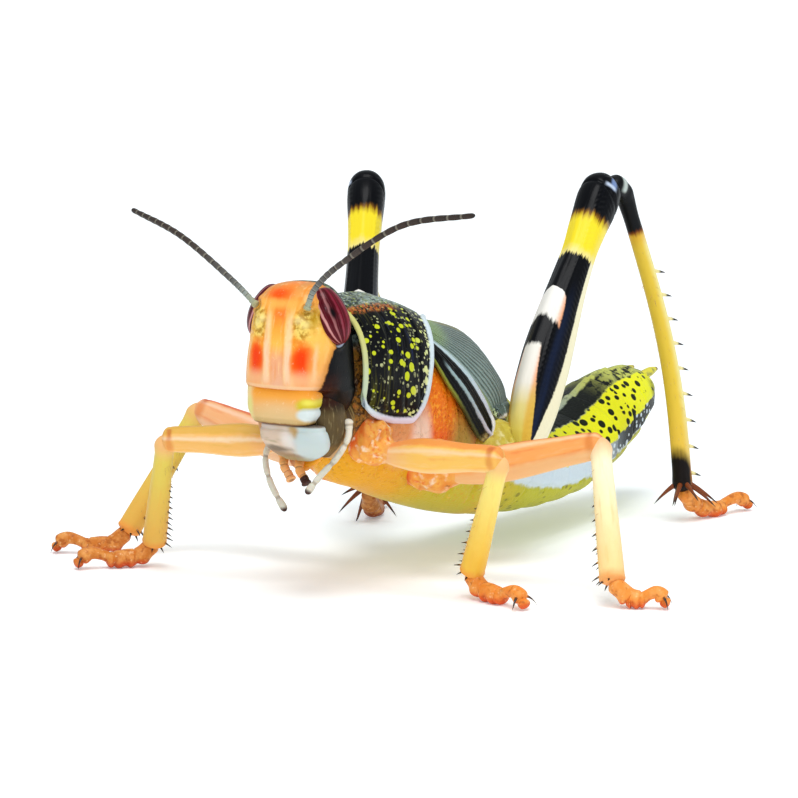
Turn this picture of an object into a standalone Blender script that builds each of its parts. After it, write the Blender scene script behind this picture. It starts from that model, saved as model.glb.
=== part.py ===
"""Fifth-stage locust hopper standing on its six feet, life size.

Frame: +Z up, the six feet rest on z = 0, the head looks along -Y and the
animal's left side is +X.  The outline is worked out in millimetres and the
finished meshes are turned into metres and centred over the origin at the end.
"""
import math

import bmesh
import bpy
from mathutils import Vector

# ---------------------------------------------------------------- sizes, mm
JOINT_GAP = 0.10
BODY_SIDES = 18
HEAD_SIDES = 18
LEG_SIDES = 9
SHIN_SIDES = 7
COXA_SIDES = 8

# Body stations: distance back, top, bottom, half width
PRONOTUM = (
    (2.25, 15.55, 8.3, 2.75),
    (4.0, 15.60, 7.6, 3.15),
    (6.0, 15.38, 7.0, 3.40),
    (8.0, 14.90, 6.4, 3.55),
    (10.5, 14.00, 6.0, 3.50),
    (13.2, 12.90, 6.0, 3.20),
)
THORAX = (
    (2.9, 14.3, 6.6, 2.1),
    (4.2, 14.5, 5.6, 2.65),
    (6.4, 14.2, 4.9, 3.05),
    (8.6, 13.75, 4.1, 3.35),
    (11.2, 13.2, 3.3, 3.55),
    (13.8, 12.6, 2.6, 3.60),
    (16.3, 11.2, 2.1, 3.55),
)
ABDOMEN = (
    (16.4, 10.5, 2.1, 3.55),
    (18.6, 8.6, 1.85, 3.50),
    (21.2, 7.2, 1.65, 3.40),
    (24.0, 6.35, 1.55, 3.25),
    (27.0, 6.35, 1.65, 3.05),
    (30.0, 7.2, 2.1, 2.85),
    (32.8, 8.0, 3.0, 2.60),
    (35.4, 8.1, 4.1, 2.20),
    (37.5, 7.8, 5.1, 1.65),
    (38.9, 7.2, 6.0, 0.75),
)
SIDE_ROUND = 2.3
RIDGE_ROUND = 1.65
RIDGE_SPAN = (19.0, 25.0)
PROTHORAX_END = 7.4
MESOTHORAX_END = 11.7
THORAX_END = 16.3
ABDOMEN_CUTS = (16.4, 21.2, 26.0, 30.4, 34.5, 37.6, 38.9)
SCALLOP = 0.16
SEGMENT_PITCH = 2.25

# Saddle outline of the pronotum seen from the side: distance back, height
SADDLE = (
    (1.0, 17.0), (1.0, 10.6), (2.3, 10.4), (3.6, 9.3), (5.2, 8.75), (6.7, 8.6),
    (7.45, 9.3), (7.95, 11.2), (8.65, 12.8), (9.5, 13.5), (11.6, 13.35), (12.6, 17.0),
)
FORE_PAD = (
    (8.2, 12.6), (9.4, 12.95), (11.2, 11.2), (13.0, 9.0), (13.6, 7.2), (13.1, 6.7),
    (12.2, 7.0), (10.4, 9.2), (8.4, 11.5),
)
HIND_PAD = (
    (9.7, 13.0), (12.9, 13.25), (14.9, 12.2), (16.1, 10.4), (15.9, 8.6), (14.9, 7.2),
    (13.85, 7.0), (13.25, 9.1), (11.4, 11.4),
)
PAD_GAP = 0.08
PAD_THICK = 0.58

# Head slices: height, half width, front, back
HEAD = (
    (9.55, 1.90, 0.20, 2.30),
    (9.95, 2.50, -0.10, 2.85),
    (10.6, 2.75, -0.45, 3.10),
    (10.95, 2.78, -0.80, 3.20),
    (11.1, 2.78, -1.62, 3.25),
    (12.2, 2.68, -1.70, 3.30),
    (13.4, 2.48, -1.60, 3.30),
    (14.6, 2.20, -1.42, 3.20),
    (15.5, 1.90, -1.15, 2.90),
    (16.1, 1.50, -0.80, 2.40),
    (16.45, 0.80, -0.20, 1.70),
)
HEAD_ROUND = 2.7
CLYPEUS = (
    (11.0, 2.25, -1.78, 0.6),
    (10.2, 2.10, -1.80, 0.6),
    (9.7, 1.85, -1.70, 0.6),
    (9.35, 1.60, -1.50, 0.5),
)
LABRUM = (
    (9.25, 1.70, -1.48, -0.35),
    (8.7, 1.80, -1.45, -0.30),
    (8.1, 1.65, -1.15, -0.25),
    (7.55, 0.95, -0.65, -0.15),
)
MANDIBLE = (
    (10.3, 0.55, 0.50, 1.3),
    (9.6, 0.90, 0.05, 1.5),
    (8.7, 0.85, -0.05, 1.4),
    (8.0, 0.45, 0.20, 1.1),
)
MANDIBLE_X = 1.72
MAXILLA = (
    (9.4, 0.55, 1.65, 2.6),
    (8.8, 0.75, 1.55, 2.7),
    (8.0, 0.65, 1.50, 2.3),
    (7.5, 0.30, 1.60, 2.0),
)
MAXILLA_X = 1.55
LABIUM = (
    (9.0, 0.60, 1.60, 2.6),
    (8.3, 0.68, 1.30, 2.4),
    (7.5, 0.66, 0.70, 1.8),
    (7.0, 0.45, 0.45, 1.2),
)
EYE_CENTRE = (1.98, 0.55, 14.75)
EYE_RADII = (0.86, 1.02, 1.52)
EYE_LEAN = math.radians(27.0)

ANTENNA_R = 0.26
SCAPE_R = 0.38
ANTENNA_LEFT = ((1.55, -1.05, 15.35), (2.75, -0.30, 17.4), (6.5, -0.4, 19.75), (11.8, -1.9, 20.6))
ANTENNA_RIGHT = ((-1.55, -1.05, 15.35), (-3.4, -0.6, 16.55), (-7.6, 1.0, 18.4), (-12.3, 3.3, 19.35))

PALP_R = 0.27
PALPS = (
    ("maxillary_palp_left", ((1.9, 1.3, 8.1), (2.3, 0.2, 7.6), (1.9, -0.8, 6.6), (1.6, -1.2, 5.9))),
    ("maxillary_palp_right", ((-1.9, 1.3, 8.1), (-2.1, 0.8, 7.3), (-1.5, 0.7, 6.0), (-1.0, 0.9, 4.85))),
    ("labial_palp_left", ((0.45, 0.35, 7.3), (0.75, -0.1, 6.9), (0.6, -0.15, 6.5), (0.5, -0.15, 6.15))),
    ("labial_palp_right", ((-0.45, 0.35, 7.3), (-0.75, 0.2, 6.8), (-0.6, 0.3, 6.3), (-0.5, 0.3, 5.9))),
)

# Legs: hip, knee, ankle, foot turn-out and sizes
# Half depth and half width of a limb at even steps from hip to knee
FORE = dict(depth=(0.50, 0.78, 0.90, 0.92, 0.86, 0.74, 0.70, 0.72, 0.45),
            width=(0.45, 0.66, 0.74, 0.74, 0.70, 0.62, 0.60, 0.62, 0.40), tibia=(0.56, 0.62))
MID = dict(depth=(0.55, 0.86, 0.98, 0.98, 0.94, 0.86, 0.78, 0.80, 0.50),
           width=(0.50, 0.72, 0.80, 0.80, 0.76, 0.70, 0.66, 0.68, 0.45), tibia=(0.62, 0.60))
HIND = dict(depth=(0.75, 1.40, 1.60, 1.62, 1.50, 1.30, 1.08, 0.92, 1.04, 1.16, 0.80),
            width=(0.60, 0.94, 1.08, 1.10, 1.06, 0.98, 0.92, 0.90, 0.98, 1.06, 0.70), tibia=(0.62, 0.60))
LEGS = (
    ("fore", "left", FORE, (2.95, 4.1, 7.35), (10.0, 3.8, 7.7), (7.35, 5.5, 1.2), (11.6, 3.9)),
    ("fore", "right", FORE, (-2.95, 4.1, 7.55), (-9.0, 1.5, 7.5), (-11.6, 4.0, 1.2), (-14.8, 0.9)),
    ("mid", "left", MID, (4.0, 8.9, 5.7), (12.2, 10.4, 7.75), (14.75, 7.1, 1.2), (17.5, 8.1)),
    ("mid", "right", MID, (-4.0, 8.9, 5.7), (-12.0, 9.0, 7.9), (-14.8, 5.9, 1.2), (-18.7, 4.2)),
    ("hind", "left", HIND, (5.3, 14.4, 6.1), (3.75, 26.4, 19.7), (6.7, 30.9, 1.75), (8.3, 36.8)),
    ("hind", "right", HIND, (-5.3, 14.4, 6.1), (-11.95, 26.4, 19.15), (-8.5, 21.0, 1.75), (-11.0, 26.6)),
)
COXAE = {
    "fore": ((1.6, 4.1, 8.2), (2.75, 4.1, 7.6), 1.25, 0.95),
    "mid": ((2.2, 8.8, 6.4), (3.75, 8.9, 5.75), 1.45, 1.05),
    "hind": ((2.8, 13.9, 6.3), (4.75, 14.2, 6.1), 1.75, 1.25),
}
BOW = 0.40
SHIN_BOW = 1.10
SPINE_ROWS = {"fore": 4, "mid": 5, "hind": 9}
SPINE_LENGTH = {"fore": 0.40, "mid": 0.45, "hind": 0.88}
SPUR_LENGTH = 0.95
CLAW_LENGTH = 1.0
# How far the head of a hind shin curls back into the knee, along the first part of the shin
HIND_OFFSET = 1.92
CURL = ((0.0, 1.0), (0.016, 0.80), (0.036, 0.38), (0.06, 0.08), (0.09, 0.0))
CURL_DEPTH = 1.15

MM = 0.001
COLOURS = {
    "orange": (0.90, 0.45, 0.20), "yellow": (0.92, 0.76, 0.30), "black": (0.03, 0.03, 0.05),
    "green": (0.55, 0.60, 0.15), "maroon": (0.35, 0.05, 0.08), "grey": (0.42, 0.46, 0.42),
    "pale": (0.80, 0.76, 0.70), "brown": (0.25, 0.14, 0.10),
}
CUTTERS = []
UNCUT = {}


# ---------------------------------------------------------------- helpers
def clear_scene():
    for item in list(bpy.data.objects):
        bpy.data.objects.remove(item, do_unlink=True)


def collection(name):
    made = bpy.data.collections.new(name)
    bpy.context.scene.collection.children.link(made)
    return made


def finish_for(name, colour):
    made = bpy.data.materials.new(name + "_finish")
    made.use_nodes = True
    shader = made.node_tree.nodes["Principled BSDF"]
    shader.inputs["Base Color"].default_value = (*COLOURS[colour], 1.0)
    shader.inputs["Roughness"].default_value = 0.4
    return made


def skin_rings(name, rings, colour, home):
    """One closed solid through a row of rings, with a fan at each end."""
    work = bmesh.new()
    rows = [[work.verts.new(point) for point in ring] for ring in rings]
    sides = len(rows[0])
    for near, far in zip(rows, rows[1:]):
        for i in range(sides):
            j = (i + 1) % sides
            work.faces.new((near[i], near[j], far[j], far[i]))
    for row in (rows[0], rows[-1]):
        middle = work.verts.new(sum((v.co for v in row), Vector()) / sides)
        for i in range(sides):
            work.faces.new((row[i], row[(i + 1) % sides], middle))
    bmesh.ops.recalc_face_normals(work, faces=work.faces)
    mesh = bpy.data.meshes.new(name)
    work.to_mesh(mesh)
    work.free()
    made = bpy.data.objects.new(name, mesh)
    home.objects.link(made)
    if colour:
        mesh.materials.append(finish_for(name, colour))
    return made


def between(rows, at):
    """Values of a station table at one distance, smoothly blended."""
    if at <= rows[0][0]:
        return rows[0][1:]
    for low, high in zip(rows, rows[1:]):
        if at <= high[0]:
            t = (at - low[0]) / (high[0] - low[0])
            return tuple(a + (b - a) * t for a, b in zip(low[1:], high[1:]))
    return rows[-1][1:]


def body_ring(rows, at, grow=0.0, sides=BODY_SIDES):
    """Upright oval cross-section of the body at one distance back, ridged on top toward the tail."""
    top, bottom, half = between(rows, at)
    middle = bottom + 0.52 * (top - bottom)
    ridged = min(max((at - RIDGE_SPAN[0]) / (RIDGE_SPAN[1] - RIDGE_SPAN[0]), 0.0), 1.0)
    roof = SIDE_ROUND + ridged * (RIDGE_ROUND - SIDE_ROUND)
    ring = []
    for i in range(sides):
        a = 2.0 * math.pi * i / sides
        c, s = math.cos(a), math.sin(a)
        roundness = roof if s > 0 else SIDE_ROUND
        x = math.copysign(abs(c) ** (2.0 / roundness), c) * (half + grow)
        reach = (top - middle if s > 0 else middle - bottom) + grow
        z = middle + math.copysign(abs(s) ** (2.0 / roundness), s) * reach
        ring.append(Vector((x, at, z)))
    return ring


def body_length(name, rows, start, stop, colour, home, step=1.5, grow=0.0, scallop=0.0):
    count = max(2, round((stop - start) / step) + 1)
    rings = []
    for i in range(count):
        at = start + (stop - start) * i / (count - 1)
        phase = ((at - start) / SEGMENT_PITCH) % 1.0
        rings.append(body_ring(rows, at, grow + scallop * (phase - 0.5)))
    return skin_rings(name, rings, colour, home)


def slice_ring(x, z, half, front, back, roundness, sides):
    """Flat level slice, used for the head and the mouthparts."""
    middle = front + 0.45 * (back - front)
    ring = []
    for i in range(sides):
        a = 2.0 * math.pi * i / sides
        c, s = math.cos(a), math.sin(a)
        px = math.copysign(abs(c) ** (2.0 / roundness), c) * half
        reach = back - middle if s > 0 else middle - front
        py = middle + math.copysign(abs(s) ** (2.0 / roundness), s) * reach
        ring.append(Vector((x + px, py, z)))
    return ring


def stack(name, rows, colour, home, x=0.0, roundness=HEAD_ROUND, sides=10):
    rings = [slice_ring(x, z, half, front, back, roundness, sides) for z, half, front, back in rows]
    return skin_rings(name, rings, colour, home)


def curve_points(controls, count):
    """Smooth path through a few control points."""
    pts = [Vector(p) for p in controls]
    pts = [2 * pts[0] - pts[1]] + pts + [2 * pts[-1] - pts[-2]]
    spans = len(pts) - 3
    out = []
    for i in range(count):
        u = spans * i / (count - 1)
        k = min(int(u), spans - 1)
        t = u - k
        a, b, c, d = pts[k:k + 4]
        out.append(0.5 * (2 * b + (c - a) * t + (2 * a - 5 * b + 4 * c - d) * t * t
                          + (3 * b - a - 3 * c + d) * t ** 3))
    return out


def frames(path, guide):
    """Two cross directions at every point of a path; the first follows the guide."""
    out = []
    for i, point in enumerate(path):
        ahead = path[min(i + 1, len(path) - 1)] - path[max(i - 1, 0)]
        ahead.normalize()
        first = guide - ahead * guide.dot(ahead)
        first.normalize()
        out.append((first, ahead.cross(first)))
    return out


def tube_rings(path, guide, sizes, sides):
    """Rings along a path; sizes gives the half size along and across the guide."""
    rings = []
    for (point, (u, v)), (a, b) in zip(zip(path, frames(path, guide)), sizes):
        ring = []
        for i in range(sides):
            turn = 2.0 * math.pi * (i + 0.5) / sides
            ring.append(point + u * (a * math.cos(turn)) + v * (b * math.sin(turn)))
        rings.append(ring)
    return rings


def curve_tube(name, path, radii, resolution, colour, home):
    """Round tube of changing thickness: a bevelled curve turned into a closed mesh."""
    curve = bpy.data.curves.new(name + "_curve", "CURVE")
    curve.dimensions = "3D"
    curve.bevel_depth = 1.0
    curve.bevel_resolution = resolution
    curve.use_fill_caps = True
    spline = curve.splines.new("POLY")
    spline.points.add(len(path) - 1)
    for knot, place, radius in zip(spline.points, path, radii):
        knot.co = (*place, 1.0)
        knot.radius = radius
    wire = bpy.data.objects.new(name + "_wire", curve)
    home.objects.link(wire)
    graph = bpy.context.evaluated_depsgraph_get()
    graph.update()
    mesh = bpy.data.meshes.new_from_object(wire.evaluated_get(graph))
    bpy.data.objects.remove(wire, do_unlink=True)
    tidy(mesh)
    mesh.materials.clear()
    made = bpy.data.objects.new(name, mesh)
    home.objects.link(made)
    if colour:
        mesh.materials.append(finish_for(name, colour))
    return made


def ellipsoid(name, centre, radii, lean, colour, home):
    work = bmesh.new()
    bmesh.ops.create_uvsphere(work, u_segments=12, v_segments=8, radius=1.0)
    for vert in work.verts:
        x, y, z = vert.co.x * radii[0], vert.co.y * radii[1], vert.co.z * radii[2]
        vert.co.x = x * math.cos(lean) - z * math.sin(lean) + centre[0]
        vert.co.z = x * math.sin(lean) + z * math.cos(lean) + centre[2]
        vert.co.y = y + centre[1]
    bmesh.ops.recalc_face_normals(work, faces=work.faces)
    mesh = bpy.data.meshes.new(name)
    work.to_mesh(mesh)
    work.free()
    made = bpy.data.objects.new(name, mesh)
    home.objects.link(made)
    if colour:
        mesh.materials.append(finish_for(name, colour))
    return made


def prism(name, outline, low, high, home):
    """Side-view outline pushed through the body from x = low to x = high."""
    rings = []
    for x in (low, high):
        rings.append([Vector((x, y, z)) for y, z in outline])
    work = bmesh.new()
    near = [work.verts.new(p) for p in rings[0]]
    far = [work.verts.new(p) for p in rings[1]]
    work.faces.new(near)
    work.faces.new(list(reversed(far)))
    for i in range(len(near)):
        j = (i + 1) % len(near)
        work.faces.new((near[i], far[i], far[j], near[j]))
    bmesh.ops.recalc_face_normals(work, faces=work.faces)
    mesh = bpy.data.meshes.new(name)
    work.to_mesh(mesh)
    work.free()
    made = bpy.data.objects.new(name, mesh)
    home.objects.link(made)
    hide(made)
    return made


def hide(item):
    item.hide_render = True
    item.display_type = "WIRE"
    CUTTERS.append(item)


def combine(target, tool, how):
    """Apply one exact boolean to the target."""
    mod = target.modifiers.new("cut", "BOOLEAN")
    mod.object = tool
    mod.operation = how
    mod.solver = "EXACT"
    graph = bpy.context.evaluated_depsgraph_get()
    graph.update()
    fresh = bpy.data.meshes.new_from_object(target.evaluated_get(graph))
    target.modifiers.clear()
    kept = list(target.data.materials)
    target.data = fresh
    fresh.materials.clear()
    for entry in kept:
        fresh.materials.append(entry)
    tidy(fresh)


def tidy(mesh):
    work = bmesh.new()
    work.from_mesh(mesh)
    bmesh.ops.remove_doubles(work, verts=work.verts, dist=0.0001)
    bmesh.ops.dissolve_degenerate(work, edges=work.edges, dist=0.0001)
    for face in work.faces:
        face.material_index = 0
    work.to_mesh(mesh)
    work.free()


def swollen(source, gap, home):
    """Hidden copy of a solid, as it was before any cut, grown by the joint gap."""
    mesh = UNCUT.get(source.name, source.data).copy()
    work = bmesh.new()
    work.from_mesh(mesh)
    bmesh.ops.recalc_face_normals(work, faces=work.faces)
    work.normal_update()
    moved = [vert.co + vert.normal * gap for vert in work.verts]
    for vert, place in zip(work.verts, moved):
        vert.co = place
    work.to_mesh(mesh)
    work.free()
    made = bpy.data.objects.new(source.name + "_room", mesh)
    home.objects.link(made)
    hide(made)
    return made


def remember(item):
    """Keep the whole shape of a solid that is about to be cut back."""
    UNCUT[item.name] = item.data.copy()


def make_room(target, others, home, gap=JOINT_GAP):
    """Cut the target back so that it clears the other solids by the gap."""
    for other in others:
        combine(target, swollen(other, gap, home), "DIFFERENCE")


# ---------------------------------------------------------------- body
def build_head(home, spare):
    made = {}
    made["head_capsule"] = stack("head_capsule", HEAD, "orange", home, sides=HEAD_SIDES)
    head = [made["head_capsule"]]
    made["clypeus"] = stack("clypeus", CLYPEUS, "orange", home, roundness=3.2)
    remember(made["clypeus"])
    make_room(made["clypeus"], head, spare)
    made["labrum"] = stack("labrum", LABRUM, "pale", home, roundness=3.0)
    for side, sign in (("left", 1.0), ("right", -1.0)):
        eye = ellipsoid("eye_" + side, (sign * EYE_CENTRE[0], *EYE_CENTRE[1:]), EYE_RADII,
                        sign * EYE_LEAN, "maroon", home)
        make_room(eye, head, spare, 0.03)
        made["eye_" + side] = eye
        jaw = stack("mandible_" + side, MANDIBLE, "brown", home, x=sign * MANDIBLE_X, sides=9)
        remember(jaw)
        make_room(jaw, head + [made["clypeus"], made["labrum"]], spare)
        made["mandible_" + side] = jaw
        lobe = stack("maxilla_" + side, MAXILLA, "orange", home, x=sign * MAXILLA_X, sides=10)
        remember(lobe)
        make_room(lobe, head + [jaw], spare)
        made["maxilla_" + side] = lobe
    lip = stack("labium", LABIUM, "orange", home, sides=10)
    make_room(lip, head + [made[n + s] for n in ("mandible_", "maxilla_") for s in ("left", "right")], spare)
    made["labium"] = lip
    return made


def build_feelers(home, spare, head):
    made = {}
    for side, controls in (("left", ANTENNA_LEFT), ("right", ANTENNA_RIGHT)):
        path = curve_points(controls, 12)
        radii = [SCAPE_R if i < 2 else ANTENNA_R for i in range(len(path))]
        feeler = curve_tube("antenna_" + side, path, radii, 1, "grey", home)
        make_room(feeler, [head["head_capsule"], head["eye_" + side]], spare, 0.04)
        made["antenna_" + side] = feeler
    blockers = [head[n] for n in ("head_capsule", "mandible_left", "mandible_right",
                                  "maxilla_left", "maxilla_right", "labium", "labrum")]
    for name, controls in PALPS:
        path = curve_points(controls, 5)
        palp = curve_tube(name, path, [PALP_R] * len(path), 1, "pale", home)
        make_room(palp, blockers, spare, 0.06)
        made[name] = palp
    return made


def build_trunk(home, spare, head):
    made = {}
    saddle = body_length("pronotum", PRONOTUM, 2.25, 13.2, "black", home, step=1.3)
    combine(saddle, prism("saddle_shape", SADDLE, -6.0, 6.0, spare), "INTERSECT")
    make_room(saddle, [head["head_capsule"]], spare, 0.12)
    made["pronotum"] = saddle
    cuts = (("prothorax", 2.9, PROTHORAX_END), ("mesothorax", PROTHORAX_END + JOINT_GAP, MESOTHORAX_END),
            ("metathorax", MESOTHORAX_END + JOINT_GAP, THORAX_END))
    for name, start, stop in cuts:
        part = body_length(name, THORAX, start, stop, "orange", home)
        make_room(part, [saddle], spare)
        if name == "prothorax":
            make_room(part, [head[n] for n in ("head_capsule", "labium", "maxilla_left", "maxilla_right")], spare)
        made[name] = part
    for side, low, high in (("left", 0.6, 7.0), ("right", -7.0, -0.6)):
        for name, outline, colour in (("forewing_pad_", FORE_PAD, "black"), ("hindwing_pad_", HIND_PAD, "grey")):
            pad = body_length(name + side, THORAX, 7.0, 16.3, colour, home, grow=PAD_GAP + PAD_THICK)
            combine(pad, prism(name + side + "_shape", outline, low, high, spare), "INTERSECT")
            inner = body_length(name + side + "_bed", THORAX, 6.0, 17.3, "", spare, grow=PAD_GAP)
            hide(inner)
            combine(pad, inner, "DIFFERENCE")
            make_room(pad, [saddle], spare)
            made[name + side] = pad
    return made


def build_abdomen(home, spare):
    made = {}
    for i, (start, stop) in enumerate(zip(ABDOMEN_CUTS, ABDOMEN_CUTS[1:])):
        name = "abdomen_%d" % (i + 1)
        first = start + (JOINT_GAP if i else 0.0)
        made[name] = body_length(name, ABDOMEN, first, stop, "green", home, step=1.9, scallop=SCALLOP)
    for side, sign in (("left", 1.0), ("right", -1.0)):
        path = curve_points(((sign * 0.60, 37.4, 7.3), (sign * 0.85, 38.4, 7.6), (sign * 0.95, 39.4, 7.75)), 4)
        cercus = curve_tube("cercus_" + side, path, (0.34, 0.34, 0.30, 0.20), 1, "yellow", home)
        make_room(cercus, [made["abdomen_5"], made["abdomen_6"]], spare, 0.05)
        made["cercus_" + side] = cercus
    return made


# ---------------------------------------------------------------- legs
def build_coxa(kind, side, home, spare, trunk):
    inner, outer, wide, narrow = COXAE[kind]
    sign = 1.0 if side == "left" else -1.0
    start = Vector((sign * inner[0], *inner[1:]))
    stop = Vector((sign * outer[0], *outer[1:]))
    path = [start.lerp(stop, t / 4.0) for t in range(5)]
    sizes = [(wide + (narrow - wide) * (t / 4.0) ** 2,) * 2 for t in range(5)]
    sizes[-1] = (narrow * 0.7, narrow * 0.7)
    coxa = skin_rings(kind + "_coxa_" + side, tube_rings(path, Vector((0, 0, 1)), sizes, COXA_SIDES), "orange", home)
    remember(coxa)
    make_room(coxa, trunk, spare)
    return coxa


def build_femur(kind, side, sizes, hip, knee, plane, home, spare, blockers):
    depth, width = sizes["depth"], sizes["width"]
    last = len(depth) - 1
    bow = BOW if kind == "hind" else 0.0
    steps = [i / last for i in range(last + 1)]
    path = [hip.lerp(knee, 1.03 * t) + plane * (bow * math.sin(math.pi * t)) for t in steps]
    rings = tube_rings(path, plane, list(zip(depth, width)), LEG_SIDES)
    femur = skin_rings(kind + "_femur_" + side, rings, "orange", home)
    remember(femur)
    make_room(femur, blockers, spare, 0.06)
    return femur


def spined_limb(name, path, sizes, plane, home, colour, rows, columns, length, lean, outward, spurs):
    """Limb with two rows of spines drawn out of its own side faces, and spurs at its end."""
    rings = tube_rings(path, plane, sizes, SHIN_SIDES)
    limb = skin_rings(name, rings, colour, home)
    work = bmesh.new()
    work.from_mesh(limb.data)
    work.faces.ensure_lookup_table()
    work.normal_update()
    picked = []
    for row in rows:
        for column in columns:
            picked.append(work.faces[row * SHIN_SIDES + column])
    spots = []
    for face in picked:
        aim = (face.normal * 0.45 + outward * 0.8 + lean * 0.4).normalized()
        spots.append((face, face.calc_center_median() + aim * length))
    for column in spurs:
        face = work.faces[(len(path) - 2) * SHIN_SIDES + column]
        aim = (face.normal * 0.75 + lean * 0.8).normalized()
        spots.append((face, face.calc_center_median() + aim * SPUR_LENGTH))
    for face, tip in spots:
        made = bmesh.ops.poke(work, faces=[face])
        made["verts"][0].co = tip
    bmesh.ops.recalc_face_normals(work, faces=work.faces)
    work.to_mesh(limb.data)
    work.free()
    return limb


def build_tibia(kind, side, sizes, knee, ankle, plane, home, spare, femur):
    """Shin with its spines: outer side on the hind legs, inner side on the others."""
    top, end = sizes["tibia"]
    count = SPINE_ROWS[kind]
    start = knee + (ankle - knee).normalized() * 0.3
    if kind == "hind":
        first = 0.20
        start = knee + plane * HIND_OFFSET
        places = [at for at, amount in CURL]
        columns = (0, SHIN_SIDES - 2)
        spurs = (0, 1, SHIN_SIDES - 3, SHIN_SIDES - 2)
    else:
        first = 0.42
        places = [0.0, 0.03, 0.08]
        columns = (SHIN_SIDES // 2 - 1, SHIN_SIDES // 2)
        spurs = ()
    rows = []
    for i in range(count):
        at = first + (0.93 - first) * i / (count - 1)
        rows.append(len(places))
        places += [at, at + 0.022]
    places += [0.975, 1.0]
    axis = ankle - start
    bow = SHIN_BOW if kind == "hind" else 0.0
    path = [start + axis * t + plane * (bow * math.sin(math.pi * t)) for t in places]
    if kind == "hind":
        for i, (at, amount) in enumerate(CURL):
            path[i] = path[i] - plane * (CURL_DEPTH * amount)
    widths = []
    for t in places:
        size = top + (end - top) * t
        if t < 0.02:
            size *= 0.7
        if t > 0.96:
            size *= 1.1 if t < 0.99 else 0.8
        widths.append((size, size * 0.92))
    lean = axis.normalized()
    limb = spined_limb(kind + "_tibia_" + side, path, widths, plane, home, "yellow", rows, columns,
                       SPINE_LENGTH[kind], lean, plane if kind == "hind" else -plane, spurs)
    make_room(limb, [femur], spare, 0.06)
    return limb


def claw(root, along, sideways, home):
    reach = along * CLAW_LENGTH
    controls = (root, root + reach * 0.55 + sideways * 0.35 + Vector((0, 0, 0.10)),
                root + reach * 0.95 + sideways * 0.45 - Vector((0, 0, 0.42)))
    path = curve_points(controls, 3)
    made = curve_tube("claw_tool", path, (0.22, 0.20, 0.06), 0, "", home)
    hide(made)
    return made


def build_foot(kind, side, ankle, toe, home, spare, tibia):
    flat_ankle = Vector((ankle.x, ankle.y, 0.0))
    along = Vector((toe[0], toe[1], 0.0)) - flat_ankle
    length = along.length
    along.normalize()
    across = Vector((-along.y, along.x, 0.0))
    heel = flat_ankle + along * 0.25
    controls = (ankle - along * 0.05, heel + along * 0.25 + Vector((0, 0, 0.60)),
                flat_ankle + along * (0.55 * length) + Vector((0, 0, 0.52)),
                flat_ankle + along * (0.85 * length) + Vector((0, 0, 0.55)))
    path = curve_points(controls, 12)
    bumps = (0.36, 0.52, 0.44, 0.58, 0.44, 0.58, 0.54, 0.36, 0.34, 0.38, 0.50, 0.34)
    widths = [(b, b * 0.95) for b in bumps]
    foot = skin_rings(kind + "_tarsus_" + side, tube_rings(path, Vector((0, 0, 1)), widths, SHIN_SIDES),
                      "orange", home)
    for sign in (1.0, -1.0):
        root = path[-2] + across * (0.1 * sign)
        combine(foot, claw(root, along, across * sign, spare), "UNION")
    sole = prism_floor(spare)
    combine(foot, sole, "DIFFERENCE")
    make_room(foot, [tibia], spare, 0.05)
    return foot


def prism_floor(home):
    """Block below the floor that gives every foot its small flats."""
    outline = ((-60.0, -3.0), (-60.0, 0.0), (90.0, 0.0), (90.0, -3.0))
    return prism("floor_block", outline, -60.0, 60.0, home)


def build_legs(home, spare, trunk):
    made = {}
    for kind, side, sizes, hip, knee, ankle, toe in LEGS:
        hip, knee, ankle = Vector(hip), Vector(knee), Vector(ankle)
        thigh, shin = (knee - hip).normalized(), (ankle - knee).normalized()
        outward = (thigh - shin).normalized()
        beam = shin.cross(thigh).normalized()
        plane = thigh.cross(beam).normalized()
        if plane.dot(outward) < 0:
            plane = -plane
        shin_plane = shin.cross(beam).normalized()
        if shin_plane.dot(outward) < 0:
            shin_plane = -shin_plane
        coxa = build_coxa(kind, side, home, spare, trunk)
        femur = build_femur(kind, side, sizes, hip, knee, plane, home, spare, [coxa] + trunk)
        tibia = build_tibia(kind, side, sizes, knee, ankle, shin_plane, home, spare, femur)
        foot = build_foot(kind, side, ankle, toe, home, spare, tibia)
        for item in (coxa, femur, tibia, foot):
            made[item.name] = item
    return made


# ---------------------------------------------------------------- finish
def to_metres(items, home):
    """Centre the animal over the origin, in metres, each piece placed by its own location."""
    root = bpy.data.objects.new("locust_root", None)
    home.objects.link(root)
    points = [v.co for item in items for v in item.data.vertices]
    low = Vector((min(p[i] for p in points) for i in range(3)))
    high = Vector((max(p[i] for p in points) for i in range(3)))
    middle = Vector(((low.x + high.x) / 2.0, (low.y + high.y) / 2.0, 0.0))
    for item in items:
        corners = [Vector(c) for c in item.bound_box]
        centre = sum(corners, Vector()) / 8.0
        for vert in item.data.vertices:
            vert.co = (vert.co - centre) * MM
        item.data.update()
        item.location = (centre - middle) * MM
        item.parent = root


def main():
    clear_scene()
    home = collection("locust_hopper")
    spare = collection("cutters")
    parts = {}
    parts.update(build_head(home, spare))
    parts.update(build_feelers(home, spare, parts))
    parts.update(build_trunk(home, spare, parts))
    parts.update(build_abdomen(home, spare))
    trunk = [parts[n] for n in ("prothorax", "mesothorax", "metathorax", "pronotum", "forewing_pad_left",
                                "forewing_pad_right", "hindwing_pad_left", "hindwing_pad_right")]
    trunk += [parts["abdomen_1"], parts["abdomen_2"]]
    parts.update(build_legs(home, spare, trunk))
    for tool in CUTTERS:
        bpy.data.objects.remove(tool, do_unlink=True)
    bpy.context.view_layer.update()
    to_metres(list(parts.values()), home)
    bpy.context.view_layer.update()


main()
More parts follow.
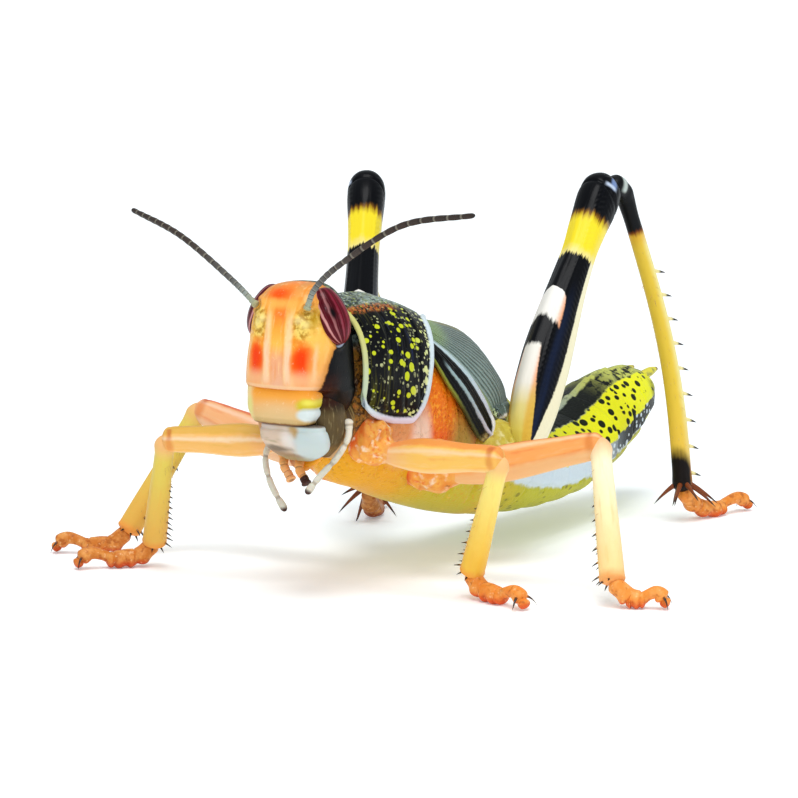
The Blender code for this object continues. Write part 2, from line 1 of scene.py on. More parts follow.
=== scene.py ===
"""Desert locust hopper of the fifth stage, life size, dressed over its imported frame.

Sizes are millimetres on the maker's own axes: x = 0 is the midline with the animal's left on +x,
y = 0 is the crown of the head with the tail on +y, and z = 0 is the floor.  Axes.metres turns
them into the frame's metres.
"""
import logging
import math
from dataclasses import dataclass
from enum import Enum
from typing import Callable, Optional, Sequence

import bpy
import numpy as np
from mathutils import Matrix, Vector


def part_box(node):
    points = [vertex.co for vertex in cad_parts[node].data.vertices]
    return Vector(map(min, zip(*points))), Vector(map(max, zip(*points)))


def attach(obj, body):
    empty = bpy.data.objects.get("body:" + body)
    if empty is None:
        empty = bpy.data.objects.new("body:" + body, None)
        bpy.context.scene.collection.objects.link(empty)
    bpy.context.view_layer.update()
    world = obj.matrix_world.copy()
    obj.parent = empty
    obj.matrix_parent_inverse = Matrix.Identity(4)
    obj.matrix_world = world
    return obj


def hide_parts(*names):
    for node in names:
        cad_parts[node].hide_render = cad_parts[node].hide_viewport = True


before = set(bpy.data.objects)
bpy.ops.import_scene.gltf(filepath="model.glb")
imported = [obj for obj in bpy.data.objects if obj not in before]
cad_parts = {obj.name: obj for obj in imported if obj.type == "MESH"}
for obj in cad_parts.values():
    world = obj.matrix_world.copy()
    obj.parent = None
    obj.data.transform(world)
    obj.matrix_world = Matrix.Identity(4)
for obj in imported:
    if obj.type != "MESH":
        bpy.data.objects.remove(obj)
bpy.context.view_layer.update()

LOG = logging.getLogger("locust")
Array = np.ndarray
Rows = Sequence[Sequence[float]]
Rule = Callable[[Array, Array], Array]
Line = Callable[[Array], Array]
Relief = Callable[[Array, Array, Array], Array]
Marks = Callable[[Array, Array], dict[str, Array]]
Place = tuple[float, float, float]
Colour = Place
Couple = tuple[float, float]
Piece = bpy.types.Object
Number = "Wire | float"
Paint = "Wire | str"

MM = 0.001
TURN = 2.0 * math.pi
UP = (0.0, 0.0, 1.0)
TAIL_END = 38.9
WELD = 2e-7
MIDDLE = 0.45
EVEN, CROWDED = 0.45, 0.55
COAT_ROUGHNESS = 0.12
FLESH_TINT = (1.0, 0.45, 0.2)
FLESH_DEPTH = 0.35


class Side(Enum):
    """The two sides of the animal, with the sign of x on each."""

    LEFT = 1.0
    RIGHT = -1.0

    @property
    def word(self) -> str:
        """Name of the side as the nodes spell it."""
        return self.name.lower()


class Pair(Enum):
    """The three pairs of legs."""

    FORE = "fore"
    MID = "mid"
    HIND = "hind"


# ---- numbers
def ink(code: str) -> Colour:
    """Linear colour of a six-figure web code."""
    parts = [int(code[i:i + 2], 16) / 255.0 for i in (0, 2, 4)]
    return tuple(c / 12.92 if c <= 0.04045 else ((c + 0.055) / 1.055) ** 2.4 for c in parts)


def flow(rows: Rows, at: Array) -> Array:
    """Run smoothly through a table without overshooting.

    Args:
        rows: Stations; the first number of each is its place, the rest are values.
        at: Places to read.

    Returns:
        One line of values for each place.
    """
    table = np.asarray(rows, float)
    knots, values = table[:, 0], table[:, 1:]
    gaps = np.diff(knots)[:, None]
    rises = np.diff(values, axis=0) / gaps
    slopes = np.zeros_like(values)
    slopes[0], slopes[-1] = rises[0], rises[-1]
    both = rises[:-1] * rises[1:] > 0
    total = np.where(both, rises[:-1] + rises[1:], 1.0)
    slopes[1:-1] = np.where(both, 2.0 * rises[:-1] * rises[1:] / total, 0.0)
    places = np.clip(np.asarray(at, float), knots[0], knots[-1])
    k = np.clip(np.searchsorted(knots, places, side="right") - 1, 0, len(knots) - 2)
    t = ((places - knots[k]) / (knots[k + 1] - knots[k]))[:, None]
    gap = gaps[k]
    return (values[k] * (1 + 2 * t) * (1 - t) ** 2 + gap * slopes[k] * t * (1 - t) ** 2
            + values[k + 1] * t * t * (3 - 2 * t) + gap * slopes[k + 1] * t * t * (t - 1))


def counted(rows: Rows) -> list[list[float]]:
    """Table with each row's own count, from 0 to 1, put in front of it."""
    last = len(rows) - 1
    return [[i / last, *row] for i, row in enumerate(rows)]


def curve(controls: Rows, at: Array) -> Array:
    """Smooth path through a few points, read at places from 0 to 1."""
    pts = np.asarray(controls, float)
    pts = np.vstack([2 * pts[0] - pts[1], pts, 2 * pts[-1] - pts[-2]])
    spans = len(pts) - 3
    s = np.clip(at, 0.0, 1.0) * spans
    k = np.minimum(s.astype(int), spans - 1)
    t = (s - k)[:, None]
    a, b, c, d = pts[k], pts[k + 1], pts[k + 2], pts[k + 3]
    return 0.5 * (2 * b + (c - a) * t + (2 * a - 5 * b + 4 * c - d) * t * t
                  + (3 * b - a - 3 * c + d) * t ** 3)


def ease(value: Array, low: float, high: float) -> Array:
    """Smooth step from 0 at low to 1 at high; the other way round where low is the larger."""
    t = np.clip((value - low) / (high - low), 0.0, 1.0)
    return t * t * (3.0 - 2.0 * t)


def hump(value: Array, centre: float, width: float) -> Array:
    """Bell of height 1 about a centre."""
    return np.exp(-((value - centre) / width) ** 2)


def knob(a: Array, b: Array, centre: Couple, radii: Couple,
         width: float = 1.0) -> Array:
    """Oval bump of height 1 about a centre."""
    return hump(np.hypot((a - centre[0]) / radii[0], (b - centre[1]) / radii[1]), 0, width)


def rings(*pairs: Couple) -> list[Place]:
    """Stations of a round limb, each given by its place and radius."""
    return [(at, radius, radius) for at, radius in pairs]


def rounded(value: Array, power: float) -> Array:
    """Sine or cosine pushed outward, which squares up an oval."""
    return np.sign(value) * np.abs(value) ** (2.0 / power)


def unit(vectors: Array) -> Array:
    """Vectors brought to length 1."""
    return vectors / np.maximum(np.linalg.norm(vectors, axis=-1, keepdims=True), 1e-9)


def crowded_ends(v: Array) -> Array:
    """Even places from 0 to 1 moved closer together at both ends."""
    return EVEN * v + CROWDED * (0.5 - 0.5 * np.cos(math.pi * v))


# ---- frame and mesh work
@dataclass(frozen=True)
class Axes:
    """Where the maker's axes lie in the frame."""

    middle: float
    crown: float

    @classmethod
    def read(cls) -> "Axes":
        """Find the midline from the head's solid and the crown from the tail's."""
        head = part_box("head_capsule")
        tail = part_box("abdomen_6")
        return cls((head[0][0] + head[1][0]) / 2.0, tail[1][1] - TAIL_END * MM)

    def metres(self, points: Array) -> Array:
        """Points in millimetres on the maker's axes, turned into metres in the frame."""
        return np.asarray(points, float) * MM + np.array([self.middle, self.crown, 0.0])


AXES = Axes.read()


def deselect() -> None:
    """Leave nothing selected."""
    for item in bpy.context.selected_objects:
        item.select_set(False)


def choose(item: Piece) -> None:
    """Make one object the selected and active one."""
    deselect()
    item.select_set(True)
    bpy.context.view_layer.objects.active = item


def read_points(mesh: bpy.types.Mesh) -> Array:
    """Vertex places of a mesh."""
    flat = np.empty(len(mesh.vertices) * 3)
    mesh.vertices.foreach_get("co", flat)
    return flat.reshape(-1, 3)


def weld(item: Piece) -> None:
    """Merge the seam and the poles of a wrapped sheet and turn its faces outward."""
    choose(item)
    bpy.ops.object.mode_set(mode="EDIT")
    bpy.ops.mesh.select_all(action="SELECT")
    bpy.ops.mesh.remove_doubles(threshold=WELD)
    bpy.ops.mesh.normals_make_consistent(inside=False)
    bpy.ops.object.mode_set(mode="OBJECT")
    bpy.ops.object.shade_smooth()


def wrap(name: str, across: int, along: int, rule: Rule, marks: Optional[Marks] = None,
         spread: Line = crowded_ends) -> Piece:
    """Bend a flat grid into a surface.

    Args:
        name: Name of the new piece.
        across: Cells round it.
        along: Cells along it.
        rule: Gives the points, in millimetres, for places (u, v) from 0 to 1.
        marks: Gives other numbers to keep on the points, by name.
        spread: Moves the even places along the piece closer together where detail needs it.

    Returns:
        The piece, with (u, v) in its UV map and its seams merged.
    """
    deselect()
    bpy.ops.mesh.primitive_grid_add(x_subdivisions=across, y_subdivisions=along, size=1.0)
    item = bpy.context.object
    item.name = name
    mesh = item.data
    mesh.name = name
    flat = read_points(mesh)
    u, v = flat[:, 0] + 0.5, spread(flat[:, 1] + 0.5)
    corners = np.empty(len(mesh.loops), dtype=np.int32)
    mesh.loops.foreach_get("vertex_index", corners)
    mesh.uv_layers[0].data.foreach_set("uv", np.stack([u, v], axis=1)[corners].ravel())
    for label, values in (marks(u, v) if marks else {}).items():
        mesh.attributes.new(label, "FLOAT", "POINT").data.foreach_set("value", values)
    mesh.vertices.foreach_set("co", AXES.metres(rule(u, v)).ravel())
    mesh.update()
    weld(item)
    return item


def thicken(item: Piece, thickness: float) -> None:
    """Give a plate its wall, inward from its outer face."""
    choose(item)
    wall = item.modifiers.new("wall", "SOLIDIFY")
    wall.thickness = thickness * MM
    wall.offset = -1.0
    bpy.ops.object.modifier_apply(modifier=wall.name)


def join(name: str, items: Sequence[Piece]) -> Piece:
    """Make several objects one piece."""
    deselect()
    for item in items:
        item.select_set(True)
    bpy.context.view_layer.objects.active = items[0]
    if len(items) > 1:
        bpy.ops.object.join()
    made = bpy.context.object
    made.name = name
    made.data.name = name
    return made


@dataclass(frozen=True)
class Thorn:
    """One spine, claw or bristle: where it stands, where it points and how it bends."""

    root: Vector
    aim: Vector
    length: float
    radius: float
    bend: Vector = Vector((0.0, 0.0, 0.0))


def thorn_bed(name: str, thorns: Sequence[Thorn], sides: int = 8, steps: int = 6) -> Piece:
    """Join many bent cones into one piece.

    Args:
        name: Name of the new piece.
        thorns: The cones, in millimetres.
        sides: Sides of each cone.
        steps: Lengths of each cone.

    Returns:
        The piece, with each point's way from root (0) to tip (1) kept as "reach".
    """
    deselect()
    bpy.ops.mesh.primitive_cone_add(vertices=sides, radius1=1.0, radius2=0.0, depth=1.0,
                                    end_fill_type="TRIFAN")
    model = bpy.context.object
    bpy.ops.object.mode_set(mode="EDIT")
    for cut in range(1, steps):
        bpy.ops.mesh.select_all(action="SELECT")
        bpy.ops.mesh.bisect(plane_co=(0, 0, cut / steps - 0.5), plane_no=UP)
    bpy.ops.object.mode_set(mode="OBJECT")
    base = read_points(model.data)
    faces = [tuple(face.vertices) for face in model.data.polygons]
    bpy.data.objects.remove(model, do_unlink=True)
    way = base[:, 2] + 0.5
    swell = np.where(way > 0, (1.0 - way) ** 0.75 / np.maximum(1.0 - way, 1e-6), 1.0)
    points, cells, reach = [], [], []
    for count, thorn in enumerate(thorns):
        aim = thorn.aim.normalized()
        side = aim.orthogonal().normalized()
        other = aim.cross(side)
        ring = base * (swell * thorn.radius)[:, None]
        local = (np.outer(ring[:, 0], side) + np.outer(ring[:, 1], other)
                 + np.outer(way * thorn.length, aim) + np.outer(way ** 2, thorn.bend))
        points.append(local + np.array(thorn.root))
        cells += [tuple(i + count * len(base) for i in face) for face in faces]
        reach.append(way)
    mesh = bpy.data.meshes.new(name)
    stacked = np.vstack(points)
    stacked[:, 2] = np.maximum(stacked[:, 2], 0.0)
    mesh.from_pydata(AXES.metres(stacked).tolist(), [], cells)
    mesh.attributes.new("reach", "FLOAT", "POINT").data.foreach_set("value", np.concatenate(reach))
    made = bpy.data.objects.new(name, mesh)
    bpy.context.collection.objects.link(made)
    choose(made)
    bpy.ops.object.shade_smooth()
    return made


# ---- paint
@dataclass(frozen=True)
class Wire:
    """A number or colour on its way through a finish, which sums like a number."""

    brush: "Brush"
    socket: bpy.types.NodeSocket

    def __add__(self, other: Number) -> "Wire":
        """Sum."""
        return self.brush.math("ADD", self, other)

    __radd__ = __add__

    def __sub__(self, other: Number) -> "Wire":
        """Difference."""
        return self.brush.math("SUBTRACT", self, other)

    def __rsub__(self, other: float) -> "Wire":
        """Difference from a plain number."""
        return self.brush.math("SUBTRACT", other, self)

    def __mul__(self, other: Number) -> "Wire":
        """Product."""
        return self.brush.math("MULTIPLY", self, other)

    __rmul__ = __mul__

    def __truediv__(self, other: Number) -> "Wire":
        """Quotient."""
        return self.brush.math("DIVIDE", self, other)


class Brush:
    """Builds the nodes of one finish."""

    def __init__(self, name: str) -> None:
        """Start a new material with its Principled shader."""
        self.material = bpy.data.materials.new(name)
        self.material.use_nodes = True
        self.tree = self.material.node_tree
        self.shader = self.tree.nodes["Principled BSDF"]
        self.spot: Optional[Wire] = None

    def node(self, kind: str, feeds: dict, out: int | str = 0, **settings: object) -> Wire:
        """Add a node, set it up, feed its sockets and give back one of its outputs."""
        made = self.tree.nodes.new(kind)
        for key, value in settings.items():
            setattr(made, key, value)
        for key, value in feeds.items():
            self.feed(made.inputs[key], value)
        return Wire(self, made.outputs[out])

    def feed(self, socket: bpy.types.NodeSocket, value: object) -> None:
        """Join a wire to a socket, or set the socket to a colour's code or a plain value."""
        if isinstance(value, Wire):
            self.tree.links.new(value.socket, socket)
        else:
            socket.default_value = (*ink(value), 1.0) if isinstance(value, str) else value

    def math(self, how: str, a: Number, b: Number = 0.0) -> Wire:
        """One step of arithmetic."""
        return self.node("ShaderNodeMath", {0: a, 1: b}, operation=how)

    def where(self) -> Wire:
        """The surface point in millimetres on the maker's axes."""
        if self.spot is None:
            place = self.node("ShaderNodeTexCoord", {}, "Object")
            shift = (-AXES.middle / MM, -AXES.crown / MM, 0.0)
            scale = (1 / MM, 1 / MM, 1 / MM)
            self.spot = self.node("ShaderNodeMapping", {"Vector": place, "Location": shift, "Scale": scale})
        return self.spot

    def apart(self, point: Wire) -> list[Wire]:
        """The three numbers of a point."""
        parts = self.node("ShaderNodeSeparateXYZ", {0: point}).socket.node
        return [Wire(self, out) for out in parts.outputs]

    def axes(self) -> list[Wire]:
        """The surface point's three distances."""
        return self.apart(self.where())

    def wrapped(self) -> list[Wire]:
        """Places round and along the piece, from 0 to 1."""
        return self.apart(self.node("ShaderNodeTexCoord", {}, "UV"))[:2]

    def fold(self, u: Wire) -> Wire:
        """Way round the piece from its upper edge, the shorter way, from 0 to 0.5."""
        return absolute(self.math("FRACT", u + 0.5) - 0.5)

    def mark(self, label: str) -> Wire:
        """A number kept on the points of the piece."""
        return self.node("ShaderNodeAttribute", {}, "Fac", attribute_name=label)

    def vector(self, x: Number, y: Number, z: Number) -> Wire:
        """Three numbers made one point."""
        return self.node("ShaderNodeCombineXYZ", {0: x, 1: y, 2: z})

    def noise(self, scale: float, detail: float = 3.0, at: Optional[Wire] = None) -> Wire:
        """Soft noise about 0, from -1 to 1, with scale lumps to the millimetre."""
        feeds = {"Vector": at or self.where(), "Scale": scale, "Detail": detail}
        return self.node("ShaderNodeTexNoise", feeds) * 2.0 - 1.0

    def stretched(self, detail: float, x: Number, y: Number, z: Number = 0.0) -> Wire:
        """Soft noise over places of one's own, which draws streaks."""
        return self.noise(1, detail, self.vector(x, y, z))

    def cells(self, scale: float, at: Optional[Wire] = None, loose: float = 1.0) -> tuple[Wire, Wire]:
        """Distance from the nearest of many scattered points, and that point's own number."""
        feeds = {"Vector": at or self.where(), "Scale": scale, "Randomness": loose}
        near = self.node("ShaderNodeTexVoronoi", feeds, "Distance")
        own = Wire(self, near.socket.node.outputs["Color"])
        return near, self.node("ShaderNodeSeparateColor", {0: own})


def step(value: Wire, low: float, high: float) -> Wire:
    """Smooth step from 0 at low to 1 at high, either way round."""
    feeds = {0: value, 1: low, 2: high}
    return value.brush.node("ShaderNodeMapRange", feeds, interpolation_type="SMOOTHSTEP")


def band(value: Wire, low: float, high: float, soft: float) -> Wire:
    """1 between two places, with soft edges."""
    return step(value, low - soft, low + soft) * step(value, high + soft, high - soft)


def patch(a: Wire, b: Wire, centre: Couple, radii: Couple, soft: float = 0.5) -> Wire:
    """1 inside an oval, fading out over the soft share of its radius."""
    da = (a - centre[0]) / radii[0]
    db = (b - centre[1]) / radii[1]
    return step(a.brush.math("SQRT", da * da + db * db), 1 + soft, 1 - soft)


def larger(a: Wire, b: Wire) -> Wire:
    """The larger of two."""
    return a.brush.math("MAXIMUM", a, b)


def absolute(a: Wire) -> Wire:
    """A number without its sign."""
    return a.brush.math("ABSOLUTE", a)


def mix(share: Wire, under: Paint, over: Paint) -> Wire:
    """Colour over colour."""
    feeds = {0: share, 6: under, 7: over}
    return share.brush.node("ShaderNodeMix", feeds, 2, data_type="RGBA", clamp_factor=True)


def layers(ground: Paint, *coats: tuple[Wire, Paint]) -> Wire:
    """Several coats of paint, one over the other, each with its own share."""
    for share, colour in coats:
        ground = mix(share, ground, colour)
    return ground


def profile(value: Wire, rows: Rows) -> Wire:
    """Smooth curve through a few stations, read at a value."""
    at, low = rows[0][0], min(row[1] for row in rows)
    span, rise = rows[-1][0] - at, max(row[1] for row in rows) - low
    read = value.brush.node("ShaderNodeFloatCurve", {"Value": (value - at) / span})
    mapping = read.socket.node.mapping
    knots = mapping.curves[0].points
    for row in rows[1:-1]:
        knots.new((row[0] - at) / span, 0.5)
    for knot, row in zip(knots, rows):
        knot.location = ((row[0] - at) / span, (row[1] - low) / rise)
        knot.handle_type = "AUTO_CLAMPED"
    mapping.update()
    return read * rise + low


def shades(value: Wire, rows: Sequence[tuple[float, str]]) -> Wire:
    """Colours blended between stations, read at a value."""
    at, span = rows[0][0], rows[-1][0] - rows[0][0]
    read = value.brush.node("ShaderNodeValToRGB", {0: (value - at) / span})
    stops = read.socket.node.color_ramp.elements
    for place, _ in rows[1:-1]:
        stops.new((place - at) / span)
    for stop, (place, code) in zip(stops, rows):
        stop.position = (place - at) / span
        stop.color = (*ink(code), 1.0)
    return read


@dataclass(frozen=True)
class Finish:
    """What all finishes of the animal have in common: a tinted, faintly grained, glossy cuticle."""

    name: str
    roughness: float = 0.42
    gloss: float = 0.03
    mirror: float = 0.13
    flesh: float = 0.05
    grain: float = 14.0
    rise: float = 0.012

    def colour(self, brush: Brush) -> Wire:
        """Colours."""
        raise NotImplementedError

    def height(self, brush: Brush) -> Wire:
        """Fine relief over the surface, from about 0 to 1."""
        return brush.noise(self.grain) * 0.5 + 0.5

    def brew(self) -> bpy.types.Material:
        """Make the material."""
        brush = Brush(self.name)
        bump = brush.node("ShaderNodeBump", {"Height": self.height(brush), "Distance": self.rise * MM,
                                             "Strength": 1.0})
        feeds = {"Base Color": self.colour(brush), "Roughness": self.roughness, "Normal": bump,
                 "Specular IOR Level": self.mirror, "Coat Weight": self.gloss,
                 "Coat Roughness": COAT_ROUGHNESS, "Subsurface Weight": self.flesh,
                 "Subsurface Radius": FLESH_TINT, "Subsurface Scale": FLESH_DEPTH * MM}
        for key, value in feeds.items():
            brush.feed(brush.shader.inputs[key], value)
        return brush.material


SHELF: dict[str, bpy.types.Material] = {}


def settle(item: Piece, finish: Finish, slot: str, *nodes: str) -> None:
    """Dress a piece, let it ride on the body and hide the solids that it stands for.

    Args:
        item: The piece.
        finish: Its finish; one material is made for each name.
        slot: Not used.
        nodes: Names of the solids replaced.
    """
    if finish.name not in SHELF:
        SHELF[finish.name] = finish.brew()
    item.data.materials.clear()
    item.data.materials.append(SHELF[finish.name])
    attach(item, "root")
    if nodes:
        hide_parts(*nodes)
    LOG.info("%s: %d faces, stands for %s", item.name, len(item.data.polygons), ", ".join(nodes) or "nothing")


def cover(node: str, across: int, along: int, rule: Rule, finish: Finish, slot: str,
          spread: Line = crowded_ends) -> None:
    """Wrap the surface of one node, dress it and let it stand for the node's solid."""
    settle(wrap(f"{node}_skin", across, along, rule, spread=spread), finish, slot, node)


# ---- shapes shared by the pieces
def closed(rows: Rows, top: float, bottom: float) -> list[list[float]]:
    """Level slices with a rounded end added above and below.

    Args:
        rows: Height, half width, front and back of each slice, from the top down.
        top: How far the upper end bulges.
        bottom: How far the lower end bulges.

    Returns:
        The same slices with a shoulder and a point at each end.
    """
    ends = []
    for row, bulge in ((rows[0], top), (rows[-1], -bottom)):
        z, half, front, back = row
        middle = front + MIDDLE * (back - front)
        ends.append([z + bulge, 0.0, middle, middle])
        shoulder = [middle + 0.7 * (front - middle), middle + 0.7 * (back - middle)]
        ends.append([z + 0.72 * bulge, 0.7 * half, *shoulder])
    return [*ends[:2], *rows, ends[3], ends[2]]


@dataclass(frozen=True)
class Stack:
    """A piece described by level slices, seam at the back, u = 0.5 at the front and 0.75 on +x."""

    rows: Rows
    x: float = 0.0
    power: float = 2.7
    relief: Optional[Relief] = None

    def rule(self, u: Array, v: Array) -> Array:
        """Points of the surface."""
        z, half, front, back = flow(counted(self.rows), v).T
        turn = TURN * (u - 0.5)
        c, s = rounded(np.cos(turn), self.power), rounded(np.sin(turn), self.power)
        middle = front + MIDDLE * (back - front)
        x = s * half
        y = middle - c * np.where(c > 0, middle - front, back - middle)
        if self.relief:
            lift = self.relief(x, y, z)
            across = np.stack([x, y - middle], axis=1)
            length = np.linalg.norm(across, axis=1)
            away = across / np.maximum(length, 1e-6)[:, None]
            lift = lift * ease(length, 0, 0.25)
            x, y = x + away[:, 0] * lift, y + away[:, 1] * lift
        return np.stack([x + self.x, y, z], axis=1)


@dataclass(frozen=True)
class Tube:
    """A limb round a centre line: u = 0 on the guide's side, 0.25 on the outer side."""

    line: Line
    guide: Place
    outer: Place
    sizes: Rows
    power: float = 2.2
    caps: Couple = (0.02, 0.02)
    relief: Optional[Rule] = None

    def frame(self, v: Array) -> tuple[Array, Array, Array, Array]:
        """Centre, heading and the two cross directions at places along."""
        here = self.line(v)
        ahead = unit(self.line(np.minimum(v + 2e-3, 1.0)) - self.line(np.maximum(v - 2e-3, 0.0)))
        guide = np.array(self.guide)
        up = unit(guide - ahead * (ahead @ guide)[:, None])
        side = np.cross(ahead, up)
        hand = 1.0 if (side @ np.array(self.outer)).sum() > 0 else -1.0
        return here, ahead, up, side * hand

    def rule(self, u: Array, v: Array) -> Array:
        """Points of the surface."""
        here, _, up, side = self.frame(v)
        size = flow(self.sizes, v)
        first = np.clip(v / self.caps[0], 0.0, 1.0)
        last = np.clip((1.0 - v) / self.caps[1], 0.0, 1.0)
        cap = np.sqrt(np.maximum(1 - (1 - first) ** 2, 0)) * np.sqrt(np.maximum(1 - (1 - last) ** 2, 0))
        lift = self.relief(u, v) if self.relief else np.zeros_like(u)
        c, s = rounded(np.cos(TURN * u), self.power), rounded(np.sin(TURN * u), self.power)
        high, wide = (size[:, 0] + lift) * cap * c, (size[:, 1] + lift) * cap * s
        return here + up * high[:, None] + side * wide[:, None]

    def skin_point(self, turn: float, place: float) -> tuple[Vector, Vector, Vector]:
        """A point of the surface, the way out of it and the way along it."""
        one, at = np.array([turn]), np.array([place])
        spot = self.rule(one, at)[0]
        here, ahead, _, _ = self.frame(at)
        return Vector(spot), Vector(unit(spot - here[0])), Vector(ahead[0])


def path_line(controls: Rows) -> Line:
    """Smooth path through a few points, as a function of the place along it."""
    return lambda at: curve(controls, at)


# ---- head
HEAD_ROWS = ((9.3, 0.0, 1.0, 1.0), (9.34, 1.2, 0.45, 1.75), (9.55, 1.72, 0.2, 2.3), (9.95, 2.22, -0.1, 2.85),
             (10.55, 2.5, -0.5, 3.1), (11.0, 2.6, -0.9, 3.2), (11.14, 2.6, -1.42, 3.24),
             (11.22, 2.6, -1.6, 3.25), (11.6, 2.6, -1.69, 3.29), (12.2, 2.55, -1.7, 3.3),
             (12.8, 2.49, -1.66, 3.3), (13.4, 2.4, -1.6, 3.3), (14.0, 2.3, -1.51, 3.26),
             (14.6, 2.18, -1.42, 3.2), (15.1, 2.04, -1.3, 3.08), (15.55, 1.86, -1.12, 2.86),
             (15.95, 1.6, -0.88, 2.55), (16.25, 1.25, -0.55, 2.15), (16.42, 0.78, -0.1, 1.65),
             (16.47, 0.0, 0.6, 0.6))
CLYPEUS_ROWS = ((11.22, 2.08, -1.5, 0.6), (10.95, 2.06, -1.61, 0.6), (10.3, 1.97, -1.66, 0.6),
                (9.75, 1.82, -1.6, 0.6), (9.38, 1.64, -1.42, 0.5))
LABRUM_ROWS = ((9.32, 1.72, -1.18, 0.1), (9.0, 1.88, -1.14, 0.12), (8.5, 1.94, -1.0, 0.15),
               (8.1, 1.8, -0.8, 0.2), (7.75, 1.4, -0.55, 0.22), (7.5, 0.95, -0.35, 0.24))
JAW_ROWS = ((10.9, 0.5, -0.35, 1.1), (10.4, 0.8, -0.5, 1.4), (9.9, 0.95, -0.55, 1.5), (9.2, 1.0, -0.5, 1.5),
            (8.6, 0.9, -0.4, 1.4), (8.0, 0.6, -0.15, 1.1), (7.7, 0.3, 0.15, 0.9))
LOBE_ROWS = ((10.7, 0.35, 1.4, 2.4), (10.2, 0.65, 1.1, 2.8), (9.6, 0.85, 0.95, 2.9), (9.0, 0.9, 0.9, 2.9),
             (8.4, 0.82, 0.9, 2.7), (7.9, 0.6, 1.0, 2.3), (7.5, 0.34, 1.2, 2.0))
LIP_ROWS = ((9.0, 0.6, 1.6, 2.6), (8.3, 0.8, 1.2, 2.4), (7.6, 0.95, 0.6, 1.8), (7.1, 0.72, 0.3, 1.3),
            (6.85, 0.4, 0.35, 0.95))
FEELERS = {
    Side.LEFT: ((1.5, -1.02, 15.25), (1.98, -0.9, 16.4), (3.25, -0.35, 17.7), (6.8, -0.4, 19.75),
                (11.8, -1.9, 20.6)),
    Side.RIGHT: ((-1.5, -1.0, 15.3), (-3.4, -0.6, 16.55), (-7.6, 1.0, 18.4), (-12.3, 3.3, 19.35)),
}
FACE_LUMPS = ((1.12, 14.72, 0.1, 0.2), (1.5, 14.52, 0.08, 0.2), (1.22, 14.28, 0.06, 0.16),
              (1.66, 14.16, 0.07, 0.18), (1.42, 13.98, 0.05, 0.15))
FEELER_JOINTS = 22.0
PALP_JOINTS = 4.0
EYE_STRIPES = 13.0
CLYPEUS_LEAN = -0.04
LABRUM_LEAN = 0.4
EYE_AT = (1.94, 0.55, 14.8)
EYE_SIZE = (0.86, 1.02, 1.52)
EYE_LEAN = math.radians(27.0)


def eye_reach(ax: "Array | Wire", y: "Array | Wire", z: "Array | Wire") -> "Array | Wire":
    """Square of a point's distance from the eye on its own side, in eye radii."""
    dx, dy, dz = ax - EYE_AT[0], (y - EYE_AT[1]) / EYE_SIZE[1], z - EYE_AT[2]
    a = (dx * math.cos(EYE_LEAN) + dz * math.sin(EYE_LEAN)) / EYE_SIZE[0]
    c = (dz * math.cos(EYE_LEAN) - dx * math.sin(EYE_LEAN)) / EYE_SIZE[2]
    return a * a + dy * dy + c * c


def face_relief(x: Array, y: Array, z: Array) -> Array:
    """Keels, groove, sockets, ocelli and rims modelled on the head capsule."""
    ax = np.abs(x)
    front = ease(-y, -0.6, 0.2)
    reach = ease(z, 11.25, 11.7) * ease(z, 15.75, 15.2)
    lift = 0.085 * hump(ax, 0.58 - 0.04 * (z - 13), 0.15) * reach
    lift -= 0.035 * ease(ax, 0.5, 0.25) * ease(z, 12.9, 13.6) * ease(z, 15.9, 15.4)
    lift += 0.02 * hump(z, 11.34, 0.1)
    lift += 0.06 * hump(ax, 1.95 - 0.2 * (z - 11.2), 0.16) * ease(z, 11.1, 11.5) * ease(z, 14.2, 13.5)
    socket = np.hypot(ax - 1.5, (z - 15.3) * 1.1)
    lift += 0.09 * hump(socket, 0.42, 0.13) - 0.1 * ease(socket, 0.34, 0.12)
    for bx, bz, tall, wide in FACE_LUMPS:
        lift += tall * hump(np.hypot(ax - bx, z - bz), 0, wide)
    lift += 0.03 * hump(z, 13.75, 0.14) * ease(ax, 0.7, 1)
    lift += 0.07 * hump(z, 15.95 - 0.1 * ax, 0.16) * ease(ax, 1.3, 0.9)
    rim = np.sqrt(eye_reach(ax, y, z))
    lift = lift * front + 0.07 * hump(rim, 1.13, 0.07)
    lift -= 0.04 * hump(y, 2.15, 0.12) * ease(z, 16.6, 15)
    return lift


